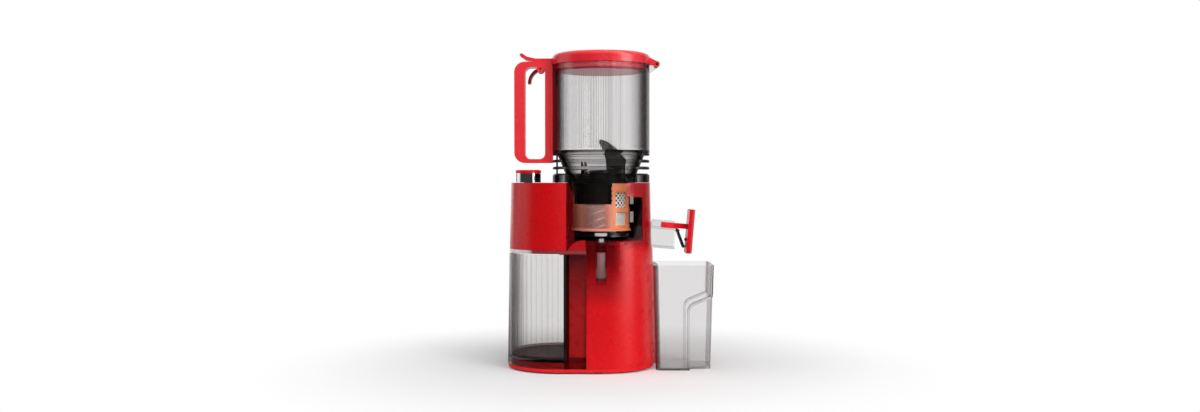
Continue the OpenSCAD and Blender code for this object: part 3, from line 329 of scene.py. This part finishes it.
STEEL = metal("steel", srgb(206, 204, 202), 0.26, stretch=(1.0, 1.0, 0.05), line=0.2)
BAND = metal("band_steel", srgb(250, 240, 238), 0.20, 0.74, stretch=(0.05, 0.05, 1.0), line=0.25)
dress(STEEL, "seat_screws", "interlock_spring", "lever_spring", "trigger_pin", "hinge_pin", "flap_pin")
dress(BAND, "auger_band")
# The shaft's pink is a painted reflection of the red housing round it.
dress(metal("shaft_steel_red_reflection", srgb(255, 206, 210), 0.34, 0.1, stretch=(1.0, 1.0, 0.05), line=0.2),
      "drive_shaft")
dress(metal("chrome", srgb(226, 226, 228), 0.09, stretch=(1.0, 1.0, 0.1), depth=0.002),
      "knob_ring", "shaft_collar")
dress(metal("motor_metal", srgb(88, 90, 96), 0.45), "motor_can")
dress(metal("output_gear_metal", srgb(168, 168, 170), 0.34), "output_gear")

# The housing, and what the photograph draws away to show the juicing chamber. A named pair of places
# is where a share is none and where it is whole.

RED = srgb(206, 7, 17)
CHAMBER_SHADE = srgb(14, 8, 8)
# Painted shade for the inside of the chamber, on the strainer's far inner side.
DECK_Z = 0.259
REACH = 0.056  # from the drive axis to the left end of the plan outline's spine
FRONT_Y = (0.004, -0.012)
COLUMN_X = (-0.048, -0.046)  # the column's left side
OPENING_Z = (0.176, 0.181)  # the foot of the opening before the chamber


def plan_radius(s):
    """Distance from the spine of the body's plan outline."""
    along = s.math("MINIMUM", s.math("MAXIMUM", s.x, -REACH), 0.0)
    return s.length(s.math("SUBTRACT", s.x, along), s.y)


def skin_radius(s):
    """Radius of the body's outer skin at the height of the point."""
    foot_z, foot_radius, deck_radius = 0.0025, 0.0765, 0.0705
    return s.ramp(s.z, foot_z, DECK_Z, foot_radius, deck_radius)


def cutaway(s):
    """Share of the front that is drawn away, as in the photograph."""
    edge = 0.001
    slope_z, left_low, left_high = 0.238, -0.0366, -0.0447
    step_z, right_low, right_high = (0.2385, 0.2405), 0.0575, 0.0360
    left = s.ramp(s.z, slope_z, DECK_Z, left_low, left_high)
    right = s.rise(s.z, *step_z, right_low, right_high)
    past_left = s.rise(s.math("SUBTRACT", s.x, left), -edge, edge)
    before_right = s.rise(s.math("SUBTRACT", right, s.x), -edge, edge)
    return s.every(s.rise(s.y, *FRONT_Y), past_left, before_right, s.rise(s.z, *OPENING_Z))


def veil(s):
    """Share of the front that thins to a red veil over the drive shaft and the outlet."""
    middle_z, middle_share, fades_x = (0.112, 0.160), 0.86, (0.034, 0.014)
    outlet_z, outlet_share, outlet_x, outlet_soft = (0.166, 0.176), 0.45, (0.030, 0.080), 0.004
    shaft_z, shaft_share, shaft_half, shaft_soft = (0.116, 0.130), 0.97, 0.0075, 0.0008
    middle = s.every(s.rise(s.x, *COLUMN_X), s.rise(s.x, *fades_x), s.rise(s.z, *middle_z, 0.0, middle_share))
    outlet = s.every(s.span(s.x, *outlet_x, outlet_soft), s.rise(s.z, *outlet_z, 0.0, outlet_share))
    shaft = s.every(s.span(s.x, -shaft_half, shaft_half, shaft_soft), s.rise(s.z, *shaft_z, 0.0, shaft_share))
    return s.every(s.rise(s.y, *FRONT_Y), s.any(middle, outlet, shaft))


def shell():
    """The housing's red, with painted shade on the column's front and on the inner side of the walls."""
    under_skin = (-0.0012, -0.0020)
    wall_shade_z, wall_shade_x = (0.110, 0.150), (0.036, 0.042)
    shaded_z, shaded_x, shaded_y = (0.085, 0.118), (0.046, 0.010), (0.0, -0.02)
    s = plastic("red_shell", RED, 0.28, spread=0.015, depth=0.005, gloss=0.40)
    # Painted shade: the walls' inner side is darkened, to near black at the column's right.
    inside = s.rise(s.math("SUBTRACT", plan_radius(s), skin_radius(s)), *under_skin)
    dark = s.every(inside, s.rise(s.z, *wall_shade_z))
    inner = s.blend(s.rise(s.x, *wall_shade_x), srgb(160, 18, 28), srgb(14, 5, 6))
    # Painted shade on the column's front below the shaft's veil.
    shaded = s.every(s.rise(s.z, *shaded_z), s.rise(s.x, *COLUMN_X), s.rise(s.x, *shaded_x),
                     s.rise(s.y, *shaded_y))
    s.colour(s.blend(dark, s.blend(shaded, s.tint, srgb(160, 6, 14)), inner))
    s.fade(s.any(cutaway(s), veil(s)))
    return s


def seat():
    """The chamber's seat, in painted shade that darkens towards its top, and drawn away in front."""
    seat_shade_z, front_y, open_z = (0.176, 0.19), (0.004, -0.004), (0.168, 0.170)
    s = plastic("seat_red", RED, 0.4, depth=0.01)
    # Painted shade: the seat's red is darkened, most at its top.
    s.colour(s.blend(s.rise(s.z, *seat_shade_z), srgb(74, 8, 13), srgb(34, 6, 9)))
    s.fade(s.every(s.rise(s.y, *front_y), s.rise(s.z, *open_z)))
    return s


dress(shell(), "main_housing")
dress(seat(), "chamber_seat")


def open_to_shaft(s):
    """Opens the front before the shaft's bush, and lets the lamps reach it past the rest."""
    half, soft, front_y, bush_top_z = 0.0095, 0.0005, (-0.0085, -0.0095), (0.1896, 0.1892)
    front, low = s.rise(s.y, *front_y), s.rise(s.z, *bush_top_z)
    seen = s.every(front, s.span(s.x, -half, half, soft), low)
    lit = s.every(s.ray("Shadow"), front, low)
    s.fade(s.any(seen, lit))
    return s


dress(open_to_shaft(plastic("seal_rubber", srgb(20, 20, 22), 0.62, 0.12, 0.35, 0.05)),
      "seat_seal", "chamber_seal")
dress(open_to_shaft(plastic("auger_black", srgb(26, 24, 23), 0.22, 0.15, 0.6, 0.01, 0.25)), "auger_body")
dress(open_to_shaft(plastic("sweeper_black", srgb(20, 19, 20), 0.3, 0.15, 0.6, 0.01)), "auger_sweeper")


def pads():
    """The wiper pads, without those that stand before the auger's left half."""
    front_y, left_x = (-0.010, -0.012), (0.004, 0.002)
    s = plastic("white_rubber", srgb(250, 249, 246), 0.5, 0.12, 0.35, 0.05)
    s.fade(s.every(s.rise(s.y, *front_y), s.rise(s.x, *left_x)))
    return s


def trim():
    """The bright plate under the overhang, with a painted reflection of the red body at its right."""
    reflection_x, bright_metallic, reflection_metallic_drop = (-0.098, -0.092), 0.55, 0.25
    s = metal("trim_metal", srgb(206, 198, 198), 0.18, stretch=(0.04, 0.04, 1.0))
    # Painted reflection of the red body: red and less metallic towards the right.
    red = s.rise(s.x, *reflection_x)
    s.colour(s.blend(red, srgb(246, 232, 232), srgb(156, 70, 74)))
    s.metallic(s.math("SUBTRACT", bright_metallic, s.math("MULTIPLY", red, reflection_metallic_drop)))
    return s


def gearbox():
    """Bare metal below, above it the red tower round the shaft, painted lighter on its right, open in front.
    """
    bare = srgb(150, 152, 156)
    tower_z, tower_light_x = (0.1215, 0.1225), (0.002, 0.014)
    front_y, open_z = (0.002, -0.004), (0.118, 0.126)
    s = metal("gear_metal", bare, 0.42)
    tower = s.rise(s.z, *tower_z)
    # Painted light: the tower's red goes from dark on the left to bright on the right.
    red = s.blend(s.rise(s.x, *tower_light_x), srgb(128, 14, 22), srgb(226, 40, 54))
    s.colour(s.blend(tower, bare, red))
    s.metallic(s.invert(tower))
    s.fade(s.every(s.rise(s.y, *front_y), s.rise(s.z, *open_z)))
    return s


dress(pads(), "wiper_pads")
dress(trim(), "trim_plate")
dress(gearbox(), "gearbox_case")

# Strainer: the front left is drawn away or thinned to a film, so that the auger and its band show.

SIEVE_RADIUS = 0.0374
FRONT_HALF_Y = (0.0, -0.004)
BACK_HALF_Y = (-0.004, 0.0)


def holes(s):
    """Round holes in the upper half of the sieve and fine slots in the lower half."""
    dot_pitch, slot_pitch, upper_z = 0.0066, 0.0016, (0.2218, 0.2222)
    dot_edge, slot_edge = (0.16, 0.34), (0.55, 0.85)

    def wave(place, pitch):
        return s.math("COSINE", s.math("MULTIPLY", place, 2 * math.pi / pitch))

    around = s.math("MULTIPLY", s.math("ARCTAN2", s.y, s.x), SIEVE_RADIUS)
    dots = s.rise(s.math("MULTIPLY", wave(around, dot_pitch), wave(s.z, dot_pitch)), *dot_edge)
    slots = s.rise(wave(s.z, slot_pitch), *slot_edge)
    upper = s.rise(s.z, *upper_z)
    return s.math("ADD", s.math("MULTIPLY", dots, upper), s.math("MULTIPLY", slots, s.invert(upper)))


def inner_back(s, radius):
    """Share of the far half's inner side, which gets painted shade for the dark of the chamber."""
    edge = 0.0001
    return s.every(s.rise(s.length(s.x, s.y), radius + edge, radius - edge), s.rise(s.y, *BACK_HALF_Y))


def mesh_steel():
    inner_radius, left_x, hole_share = 0.0373, (0.0150, 0.0140), 0.6
    s = metal("mesh_steel", srgb(206, 198, 186), 0.34, 0.05)
    hole = holes(s)
    # Painted shade in the holes, where the dark chamber shows through; the far inner side is painted shade
    # too.
    lit = s.blend(hole, srgb(250, 246, 240), srgb(46, 38, 36))
    s.colour(s.blend(inner_back(s, inner_radius), lit, CHAMBER_SHADE))
    gone = s.every(s.rise(s.y, *FRONT_HALF_Y), s.rise(s.x, *left_x))
    s.fade(s.any(gone, s.math("MULTIPLY", hole, hole_share)))
    return s


def orange_frame():
    """The frame's orange: gone at the upper front left, below it a film thinnest in its middle, painted
    paler.
    """
    inner_radius, left_x = 0.0380, (0.0160, 0.0150)
    gone_z, film_z = (0.2285, 0.2295), (0.1945, 0.1965)
    middle_x, middle_soft = (-0.026, 0.009), 0.008
    side_share, middle_more = 0.08, 0.78
    s = plastic("orange", srgb(255, 148, 98), 0.34, spread=0.04, depth=0.01)
    front_left = s.every(s.rise(s.y, *FRONT_HALF_Y), s.rise(s.x, *left_x))
    gone = s.every(front_left, s.rise(s.z, *gone_z))
    middle = s.span(s.x, *middle_x, middle_soft)
    thin = s.every(front_left, s.rise(s.z, *film_z),
                   s.math("ADD", side_share, s.math("MULTIPLY", middle, middle_more)))
    # Painted light: the film at the front left is painted paler, since the lamps reach that recess poorly.
    lit = s.blend(front_left, s.tint, srgb(255, 164, 140))
    s.colour(s.blend(inner_back(s, inner_radius), lit, CHAMBER_SHADE))
    s.fade(s.any(gone, thin))
    return s


dress(mesh_steel(), "strainer_mesh")
ORANGE = orange_frame()

# Clear pieces


def jug():
    """The container's plastic, with painted shade in its floor, at its back line and round the column."""
    floor_shade_z, inner_radius = (0.0235, 0.0220), (0.0716, 0.0712)
    back_shade_x, back_soft, column_shade_x = (-0.0500, -0.0430), 0.0004, (-0.0436, -0.0430)
    s = glass("jug_clear", CLEAR_TINT, (0.22, 0.19, 0.19, 1.0))
    # Painted shade: the floor and the back line go near black, and the walls round the column darker red.
    floor = s.every(s.rise(s.z, *floor_shade_z), s.rise(plan_radius(s), *inner_radius))
    back = s.span(s.x, *back_shade_x, back_soft)
    walls = s.blend(s.rise(s.x, *column_shade_x), s.clear, (0.52, 0.42, 0.42, 1.0))
    s.colour(s.blend(s.any(floor, back), walls, (0.10, 0.05, 0.05, 1.0)))
    return s


def chamber():
    """The bowl's plastic, dark in its collar and drawn away in front."""
    collar_z, front_y, left_of_duct = (0.2570, 0.2590), (0.014, 0.010), (0.0590, 0.0580)
    foot_z, rim_z = (0.180, 0.1802), (0.2592, 0.2585)
    s = glass("chamber_smoke", SMOKE_TINT, SMOKE_LIMB)
    s.colour(s.blend(s.rise(s.z, *collar_z), s.clear, (0.10, 0.085, 0.085, 1.0)))
    s.fade(s.every(s.rise(s.y, *front_y), s.rise(s.x, *left_of_duct),
                   s.rise(s.z, *foot_z), s.rise(s.z, *rim_z)))
    return s


dress(glass("clear_smoke", SMOKE_TINT, SMOKE_LIMB, rough=0.008, wave=0.002), "hopper_barrel")
dress(glass("neck_smoke", (0.70, 0.685, 0.685, 1.0), (0.03, 0.022, 0.022, 1.0), ior=1.06), "hopper")
dress(glass("cup_smoke", SMOKE_TINT, (0.2, 0.15, 0.15, 1.0)), "pulp_cup")
dress(glass("clear", CLEAR_TINT, (0.25, 0.2, 0.2, 1.0)), "hopper_guide", "lever_rail")
dress(jug(), "juice_container")
dress(chamber(), "chamber")

# Pieces


def piece(name, body, bm, shader):
    """A mesh that rides on a body, in one material."""
    bmesh.ops.recalc_face_normals(bm, faces=bm.faces)
    mesh = bpy.data.meshes.new(name)
    bm.to_mesh(mesh)
    bm.free()
    mesh.materials.append(shader.mat)
    made = bpy.data.objects.new(name, mesh)
    bpy.context.scene.collection.objects.link(made)
    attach(made, body)
    return made


def skin(bm, rings, wrap=False):
    """Faces between rings of points of one count, closed at both ends or wrapped round."""
    rows = [[bm.verts.new(p) for p in ring] for ring in rings]
    pairs = list(zip(rows, rows[1:])) + ([(rows[-1], rows[0])] if wrap else [])
    count = len(rows[0])
    for one, two in pairs:
        for i in range(count):
            k = (i + 1) % count
            bm.faces.new((one[i], one[k], two[k], two[i]))
    if not wrap:
        bm.faces.new(rows[0][::-1])
        bm.faces.new(rows[-1])


def smooth(made, angle=40):
    for face in made.data.polygons:
        face.use_smooth = True
    made.data.set_sharp_from_angle(angle=math.radians(angle))
    return made


def turned(profile, steps):
    """A closed profile of radius and height in mm, turned about the drive axis."""
    bm = bmesh.new()
    rings = []
    for i in range(steps):
        a = 2 * math.pi * i / steps
        rings.append([(r * MM * math.cos(a), r * MM * math.sin(a), z * MM) for r, z in profile])
    skin(bm, rings, wrap=True)
    return bm


def ribbed_band():
    """The steel band round the auger's foot: eight shallow ribs that rise round it."""
    lo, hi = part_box("auger_band")
    ribs, turn = 8, 150 / 360  # a rib goes this share of a turn round from the foot to the top
    rib_half, rib_slope = 0.13, 1.6
    rib_depth, wall = 1.0 * MM, 2.6 * MM
    around, up = 360, 44
    outer = hi[0]
    groove, inner = outer - rib_depth, outer - wall
    angles = [2 * math.pi * i / around for i in range(around)]
    bm = bmesh.new()
    rings = []
    for k in range(up + 1):
        share = k / up
        z = lo[2] + share * (hi[2] - lo[2])
        ring = []
        for a in angles:
            phase = (ribs * (a / (2 * math.pi) - turn * share)) % 1.0
            crest = max(0.0, 1 - abs(phase - 0.5) / rib_half)
            r = groove + (outer - groove) * min(1.0, rib_slope * crest)
            ring.append((r * math.cos(a), r * math.sin(a), z))
        rings.append(ring)
    for z in (hi[2], lo[2]):
        rings.append([(inner * math.cos(a), inner * math.sin(a), z) for a in angles])
    skin(bm, rings, wrap=True)
    made = smooth(piece("ribbed_band", "auger", bm, BAND), 60)
    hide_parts("auger_band")


def flutes(name, body, places, half, depth, z0, z1, shader):
    """Upright ribs of half-round section. A place is a point on the wall and the way into the room."""
    sides = 5
    bm = bmesh.new()
    for (x, y), (nx, ny) in places:
        tx, ty = -ny, nx
        section = []
        for i in range(sides + 1):
            a = math.pi * i / sides
            u, w = half * math.cos(a), depth * math.sin(a)
            section.append((x + tx * u + nx * w, y + ty * u + ny * w))
        skin(bm, [[(px, py, z) for px, py in section] for z in (z0, z1)])
    return piece(name, body, bm, shader)


def round_places(radius, count, start=0.0, sweep=360.0, centre=(0.0, 0.0)):
    """Places for flutes round a centre, from a bearing in degrees."""
    made = []
    for i in range(count):
        a = math.radians(start + sweep * i / count)
        c, s = math.cos(a), math.sin(a)
        made.append(((centre[0] + radius * c, centre[1] + radius * s), (-c, -s)))
    return made


def cage(name, body, r_in, r_out, bearings, heights, is_open, shader):
    """A round wall with windows: cells between bearings and heights, each closed unless it is open."""
    bm = bmesh.new()
    made = {}

    def at(i, k, r):
        key = (i % len(bearings), k, r)
        if key not in made:
            a = math.radians(bearings[key[0]])
            made[key] = bm.verts.new((r * math.cos(a), r * math.sin(a), heights[k]))
        return made[key]

    solid = {(i, k) for i in range(len(bearings)) for k in range(len(heights) - 1) if not is_open(i, k)}
    for i, k in solid:
        for r, flip in ((r_out, 1), (r_in, -1)):
            bm.faces.new((at(i, k, r), at(i + 1, k, r), at(i + 1, k + 1, r), at(i, k + 1, r))[::flip])
        edges = (((i - 1) % len(bearings), k, (i, k), (i, k + 1)),
                 ((i + 1) % len(bearings), k, (i + 1, k), (i + 1, k + 1)),
                 (i, k - 1, (i, k), (i + 1, k)),
                 (i, k + 1, (i, k + 1), (i + 1, k + 1)))
        for ni, nk, one, two in edges:
            if (ni, nk) not in solid:
                bm.faces.new((at(*one, r_out), at(*two, r_out), at(*two, r_in), at(*one, r_in)))
    return piece(name, body, bm, shader)


def strainer():
    """Wall, foot flange and two rows of wide windows, eight round it, none of them before the auger."""
    lo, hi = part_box("strainer_frame")
    r_in, r_out = 37.75, 40.5
    low_window, high_window = (200.4, 218.4), (224.0, 245.4)
    heights = [lo[2]] + [z * MM for z in low_window + high_window] + [hi[2]]
    # Bearings in degrees: a cell of the wall, one window to the next, their turn, and the plain front.
    cell, pitch, turn, half_window = 2.5, 45, 43.5, 17
    plain_from, plain_to = 190, 290
    bearings = [i * cell for i in range(int(360 / cell))]

    def is_open(i, k):
        from_centre = (bearings[i] + cell / 2 + turn + pitch / 2) % pitch - pitch / 2
        return k in (1, 3) and abs(from_centre) < half_window and not plain_from < bearings[i] < plain_to

    wall = cage("strainer_wall", "chamber_set", r_in * MM, r_out * MM, bearings, heights, is_open,
                ORANGE)
    smooth(wall, 30)
    tucked, lift = r_out - 0.05, 0.02
    z, rim = lo[2] / MM, hi[0] / MM
    profile = [(tucked, z + lift), (rim, z + lift), (rim, z + 1.6), (r_out + 0.9, z + 2.8), (tucked, z + 3.8)]
    smooth(piece("strainer_foot", "chamber_set", turned(profile, 144), ORANGE))
    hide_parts("strainer_frame")


def gusset():
    """The small web beside the juice chute: an outline of X and Z in mm, carried along Y."""
    foot_z, right_x = 163.2, -21.5
    outline = [(-47.0, foot_z), (-46.2, 166.0), (-41.5, 172.0), (-34.0, 177.0), (-28.5, 178.6),
               (right_x, 179.2), (right_x, foot_z)]
    front_y, back_y = -30.0, -22.0
    shader = plastic("gusset_red", srgb(214, 12, 26), 0.3, 0.03, 0.6, 0.006)
    bm = bmesh.new()
    skin(bm, [[(x * MM, y * MM, z * MM) for x, z in outline] for y in (front_y, back_y)])
    piece("chute_gusset", "base", bm, shader)


def bush():
    """The bright bush on the shaft. It glows faintly, because the strainer keeps the lamps from it."""
    shader = metal("bush_steel", srgb(246, 244, 242), 0.25, 0.12)
    shader.put(shader.face.inputs["Emission Color"], (1.0, 0.98, 0.97, 1.0))
    shader.put(shader.face.inputs["Emission Strength"], 0.4)
    bore, outer, foot_z, top_z = 7.0, 8.6, 183.7, 188.7
    profile = [(bore, foot_z), (outer - 0.3, foot_z), (outer, foot_z + 0.5), (outer, top_z - 0.5),
               (outer - 0.4, top_z), (bore, top_z)]
    smooth(piece("drive_bush", "drive", turned(profile, 64), shader))


def spring():
    """The lever's spring, which the lever presses against the rail's stop, along the sloping rail."""
    coil =bpy.data.objects.new("outlet_spring", nodes["lever_spring"].data.copy())
    bpy.context.scene.collection.objects.link(coil)
    for place in coil.material_slots:
        place.material = STEEL.mat
    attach(coil, "chamber_set")
    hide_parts("lever_spring")
    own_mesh(coil)


def jug_floor_shade():
    """A sheet of painted shade on top of the container's thick floor: a half round and a straight back."""
    radius, back, low, high = 69.4 * MM, -51.2 * MM, 19.0 * MM, 19.4 * MM
    steps = 60
    turn = [math.radians(90 + 180 * i / steps) for i in range(steps + 1)]
    outline = [(-REACH + radius * math.cos(a), radius * math.sin(a)) for a in turn]
    outline += [(back, -radius), (back, radius)]
    bm = bmesh.new()
    skin(bm, [[(x, y, z) for x, y in outline] for z in (low, high)])
    piece("jug_floor_shade", "container", bm, plastic("floor_shade", srgb(74, 54, 56), 0.6, gloss=0.05))


def jug_flutes():
    """The fine ribs inside the container's round wall."""
    wall_radius, count, start, sweep = 70.3 * MM, 24, 96, 168
    half, depth, foot_z, top_z = 0.8 * MM, 0.4 * MM, 21 * MM, 157 * MM
    places = round_places(wall_radius, count, start, sweep, (-REACH, 0.0))
    shader = glass("jug_flute", (0.93, 0.925, 0.925, 1.0), (0.3, 0.28, 0.28, 1.0), ior=1.05, wave=0)
    flutes("jug_flutes", "container", places, half, depth, foot_z, top_z, shader)


def barrel_flutes():
    """The fine ribs inside the hopper's barrel."""
    wall_radius, count = 65.2 * MM, 120
    half, depth, foot_z, top_z = 1.0 * MM, 0.7 * MM, 306.5 * MM, 419 * MM
    shader = glass("flute_clear", (0.86, 0.855, 0.855, 1.0), (0.58, 0.565, 0.565, 1.0), rough=0.0, ior=1.04,
                   wave=0)
    flutes("barrel_flutes", "chamber_set", round_places(wall_radius, count), half, depth, foot_z, top_z,
           shader)


strainer()
ribbed_band()
jug_flutes()
barrel_flutes()
gusset()
bush()
spring()
jug_floor_shade()

# Floor, light and camera


def stage_floor():
    """A pale disc that keeps the object's shadow near it and turns white further off."""
    disc_radius, white_from, white_at = 6.0, 0.14, 0.50
    dim_y, dim_low, dim_high = (0.0, 1.5), 0.05, 0.7
    bm = bmesh.new()
    bmesh.ops.create_circle(bm, cap_ends=True, segments=96, radius=disc_radius)
    mesh = bpy.data.meshes.new("floor")
    bm.to_mesh(mesh)
    bm.free()
    floor = bpy.data.objects.new("floor", mesh)
    bpy.context.scene.collection.objects.link(floor)
    s = Shader("floor", (0.86, 0.86, 0.86, 1.0), 0.9)
    glow = s.node("ShaderNodeEmission")
    seen = s.any(s.ray("Camera"), s.ray("Transmission"))
    dim = s.rise(s.y, *dim_y, dim_low, dim_high)
    s.put(glow.inputs["Strength"], s.math("ADD", seen, s.math("MULTIPLY", s.invert(seen), dim)))
    far = s.rise(s.length(s.x, s.y), white_from, white_at)
    mirrored = s.math("MULTIPLY", s.ray("Glossy"), s.invert(seen))
    s.either(s.any(far, mirrored), s.face.outputs[0], glow.outputs[0])
    mesh.materials.append(s.mat)


# Lamps: place, point they face, width, height, power.
LAMPS = (
    ("key", (0.82, -1.15, 0.50), (0, 0, 0.22), 0.42, 1.2, 13),
    ("side", (-1.30, -0.10, 0.50), (0, 0, 0.22), 0.6, 1.2, 5),
    ("fill", (0.10, -1.75, 0.60), (0, 0, 0.22), 0.8, 0.8, 4),
    ("top", (0.1, -0.5, 1.7), (0, 0, 0.2), 1.2, 1.2, 13),
)


def softbox(name, place, aim, width, height, power):
    """A soft lamp that mirrors show nowhere: they show the studio's strips."""
    data = bpy.data.lights.new(name, "AREA")
    data.shape = "RECTANGLE"
    data.size, data.size_y = width, height
    data.energy = power
    lamp = bpy.data.objects.new(name, data)
    bpy.context.scene.collection.objects.link(lamp)
    lamp.location = place
    lamp.visible_glossy = False
    lamp.rotation_euler = (Vector(aim) - Vector(place)).to_track_quat("-Z", "Y").to_euler()


# Lit strips that gloss mirrors, by bearing from the front in degrees: from, to, softness, strength.
STRIPS = (
    (-200, -140, 10, 1.6),
    (-122, -76, 9, 0.95),
    (48, 74, 7, 8.0),
    (74, 104, 9, 0.9),
    (132, 200, 10, 0.8),
)
STUDIO_BASE = 0.045
CEILING = (0.45, 0.70, 0.0, 1.1)  # upward share of a direction from and to, and strength there
ROOM_LIGHT = 0.28


def studio_world():
    """White to the camera and through clear pieces, strips and ceiling to gloss, even light to the rest."""
    world = bpy.data.worlds.new("studio")
    world.use_nodes = True
    w = Graph(world.node_tree)
    out, back = w.node("ShaderNodeOutputWorld"), w.node("ShaderNodeBackground")
    path = w.node("ShaderNodeLightPath")
    coords, split = w.node("ShaderNodeTexCoord"), w.node("ShaderNodeSeparateXYZ")
    w.put(split.inputs[0], coords.outputs["Generated"])
    x, y, z = split.outputs
    bearing = w.math("ARCTAN2", x, w.math("MULTIPLY", y, -1.0))
    studio = STUDIO_BASE
    for low, high, soft, power in STRIPS:
        low, high, soft = (math.radians(v) for v in (low, high, soft))
        lit = w.math("MULTIPLY", w.rise(bearing, low - soft, low + soft),
                     w.math("SUBTRACT", power, w.rise(bearing, high - soft, high + soft, 0.0, power)))
        studio = w.math("ADD", lit, studio)
    studio = w.math("MAXIMUM", studio, w.rise(z, *CEILING))
    seen = w.math("MAXIMUM", path.outputs["Is Camera Ray"], path.outputs["Is Transmission Ray"])
    level = w.mix(seen, w.mix(path.outputs["Is Glossy Ray"], ROOM_LIGHT, studio), 1.0)
    w.put(back.inputs["Color"], level)
    w.put(out.inputs[0], back.outputs[0])
    bpy.context.scene.world = world


# The photograph's camera: its frame, focal length and horizon's drop in pixels.
EYE = (-0.0014, -1.6, 0.26)
FRAME_PX, FOCAL_PX, HORIZON_PX = 1200, 1133, 24


def photo_camera():
    data = bpy.data.cameras.new("camera")
    data.sensor_width = 36
    data.lens = data.sensor_width * (FOCAL_PX / FRAME_PX)
    data.clip_end = 20
    camera = bpy.data.objects.new("camera", data)
    bpy.context.scene.collection.objects.link(camera)
    camera.location = EYE
    camera.rotation_euler = (math.pi / 2 - math.atan(HORIZON_PX / FOCAL_PX), 0, 0)
    bpy.context.scene.camera = camera


stage_floor()
for lamp in LAMPS:
    softbox(*lamp)
studio_world()
photo_camera()

bpy.context.scene.view_settings.view_transform = "Standard"
cycles = bpy.context.scene.cycles
cycles.transmission_bounces = 16
cycles.transparent_max_bounces = 24
cycles.max_bounces = 20
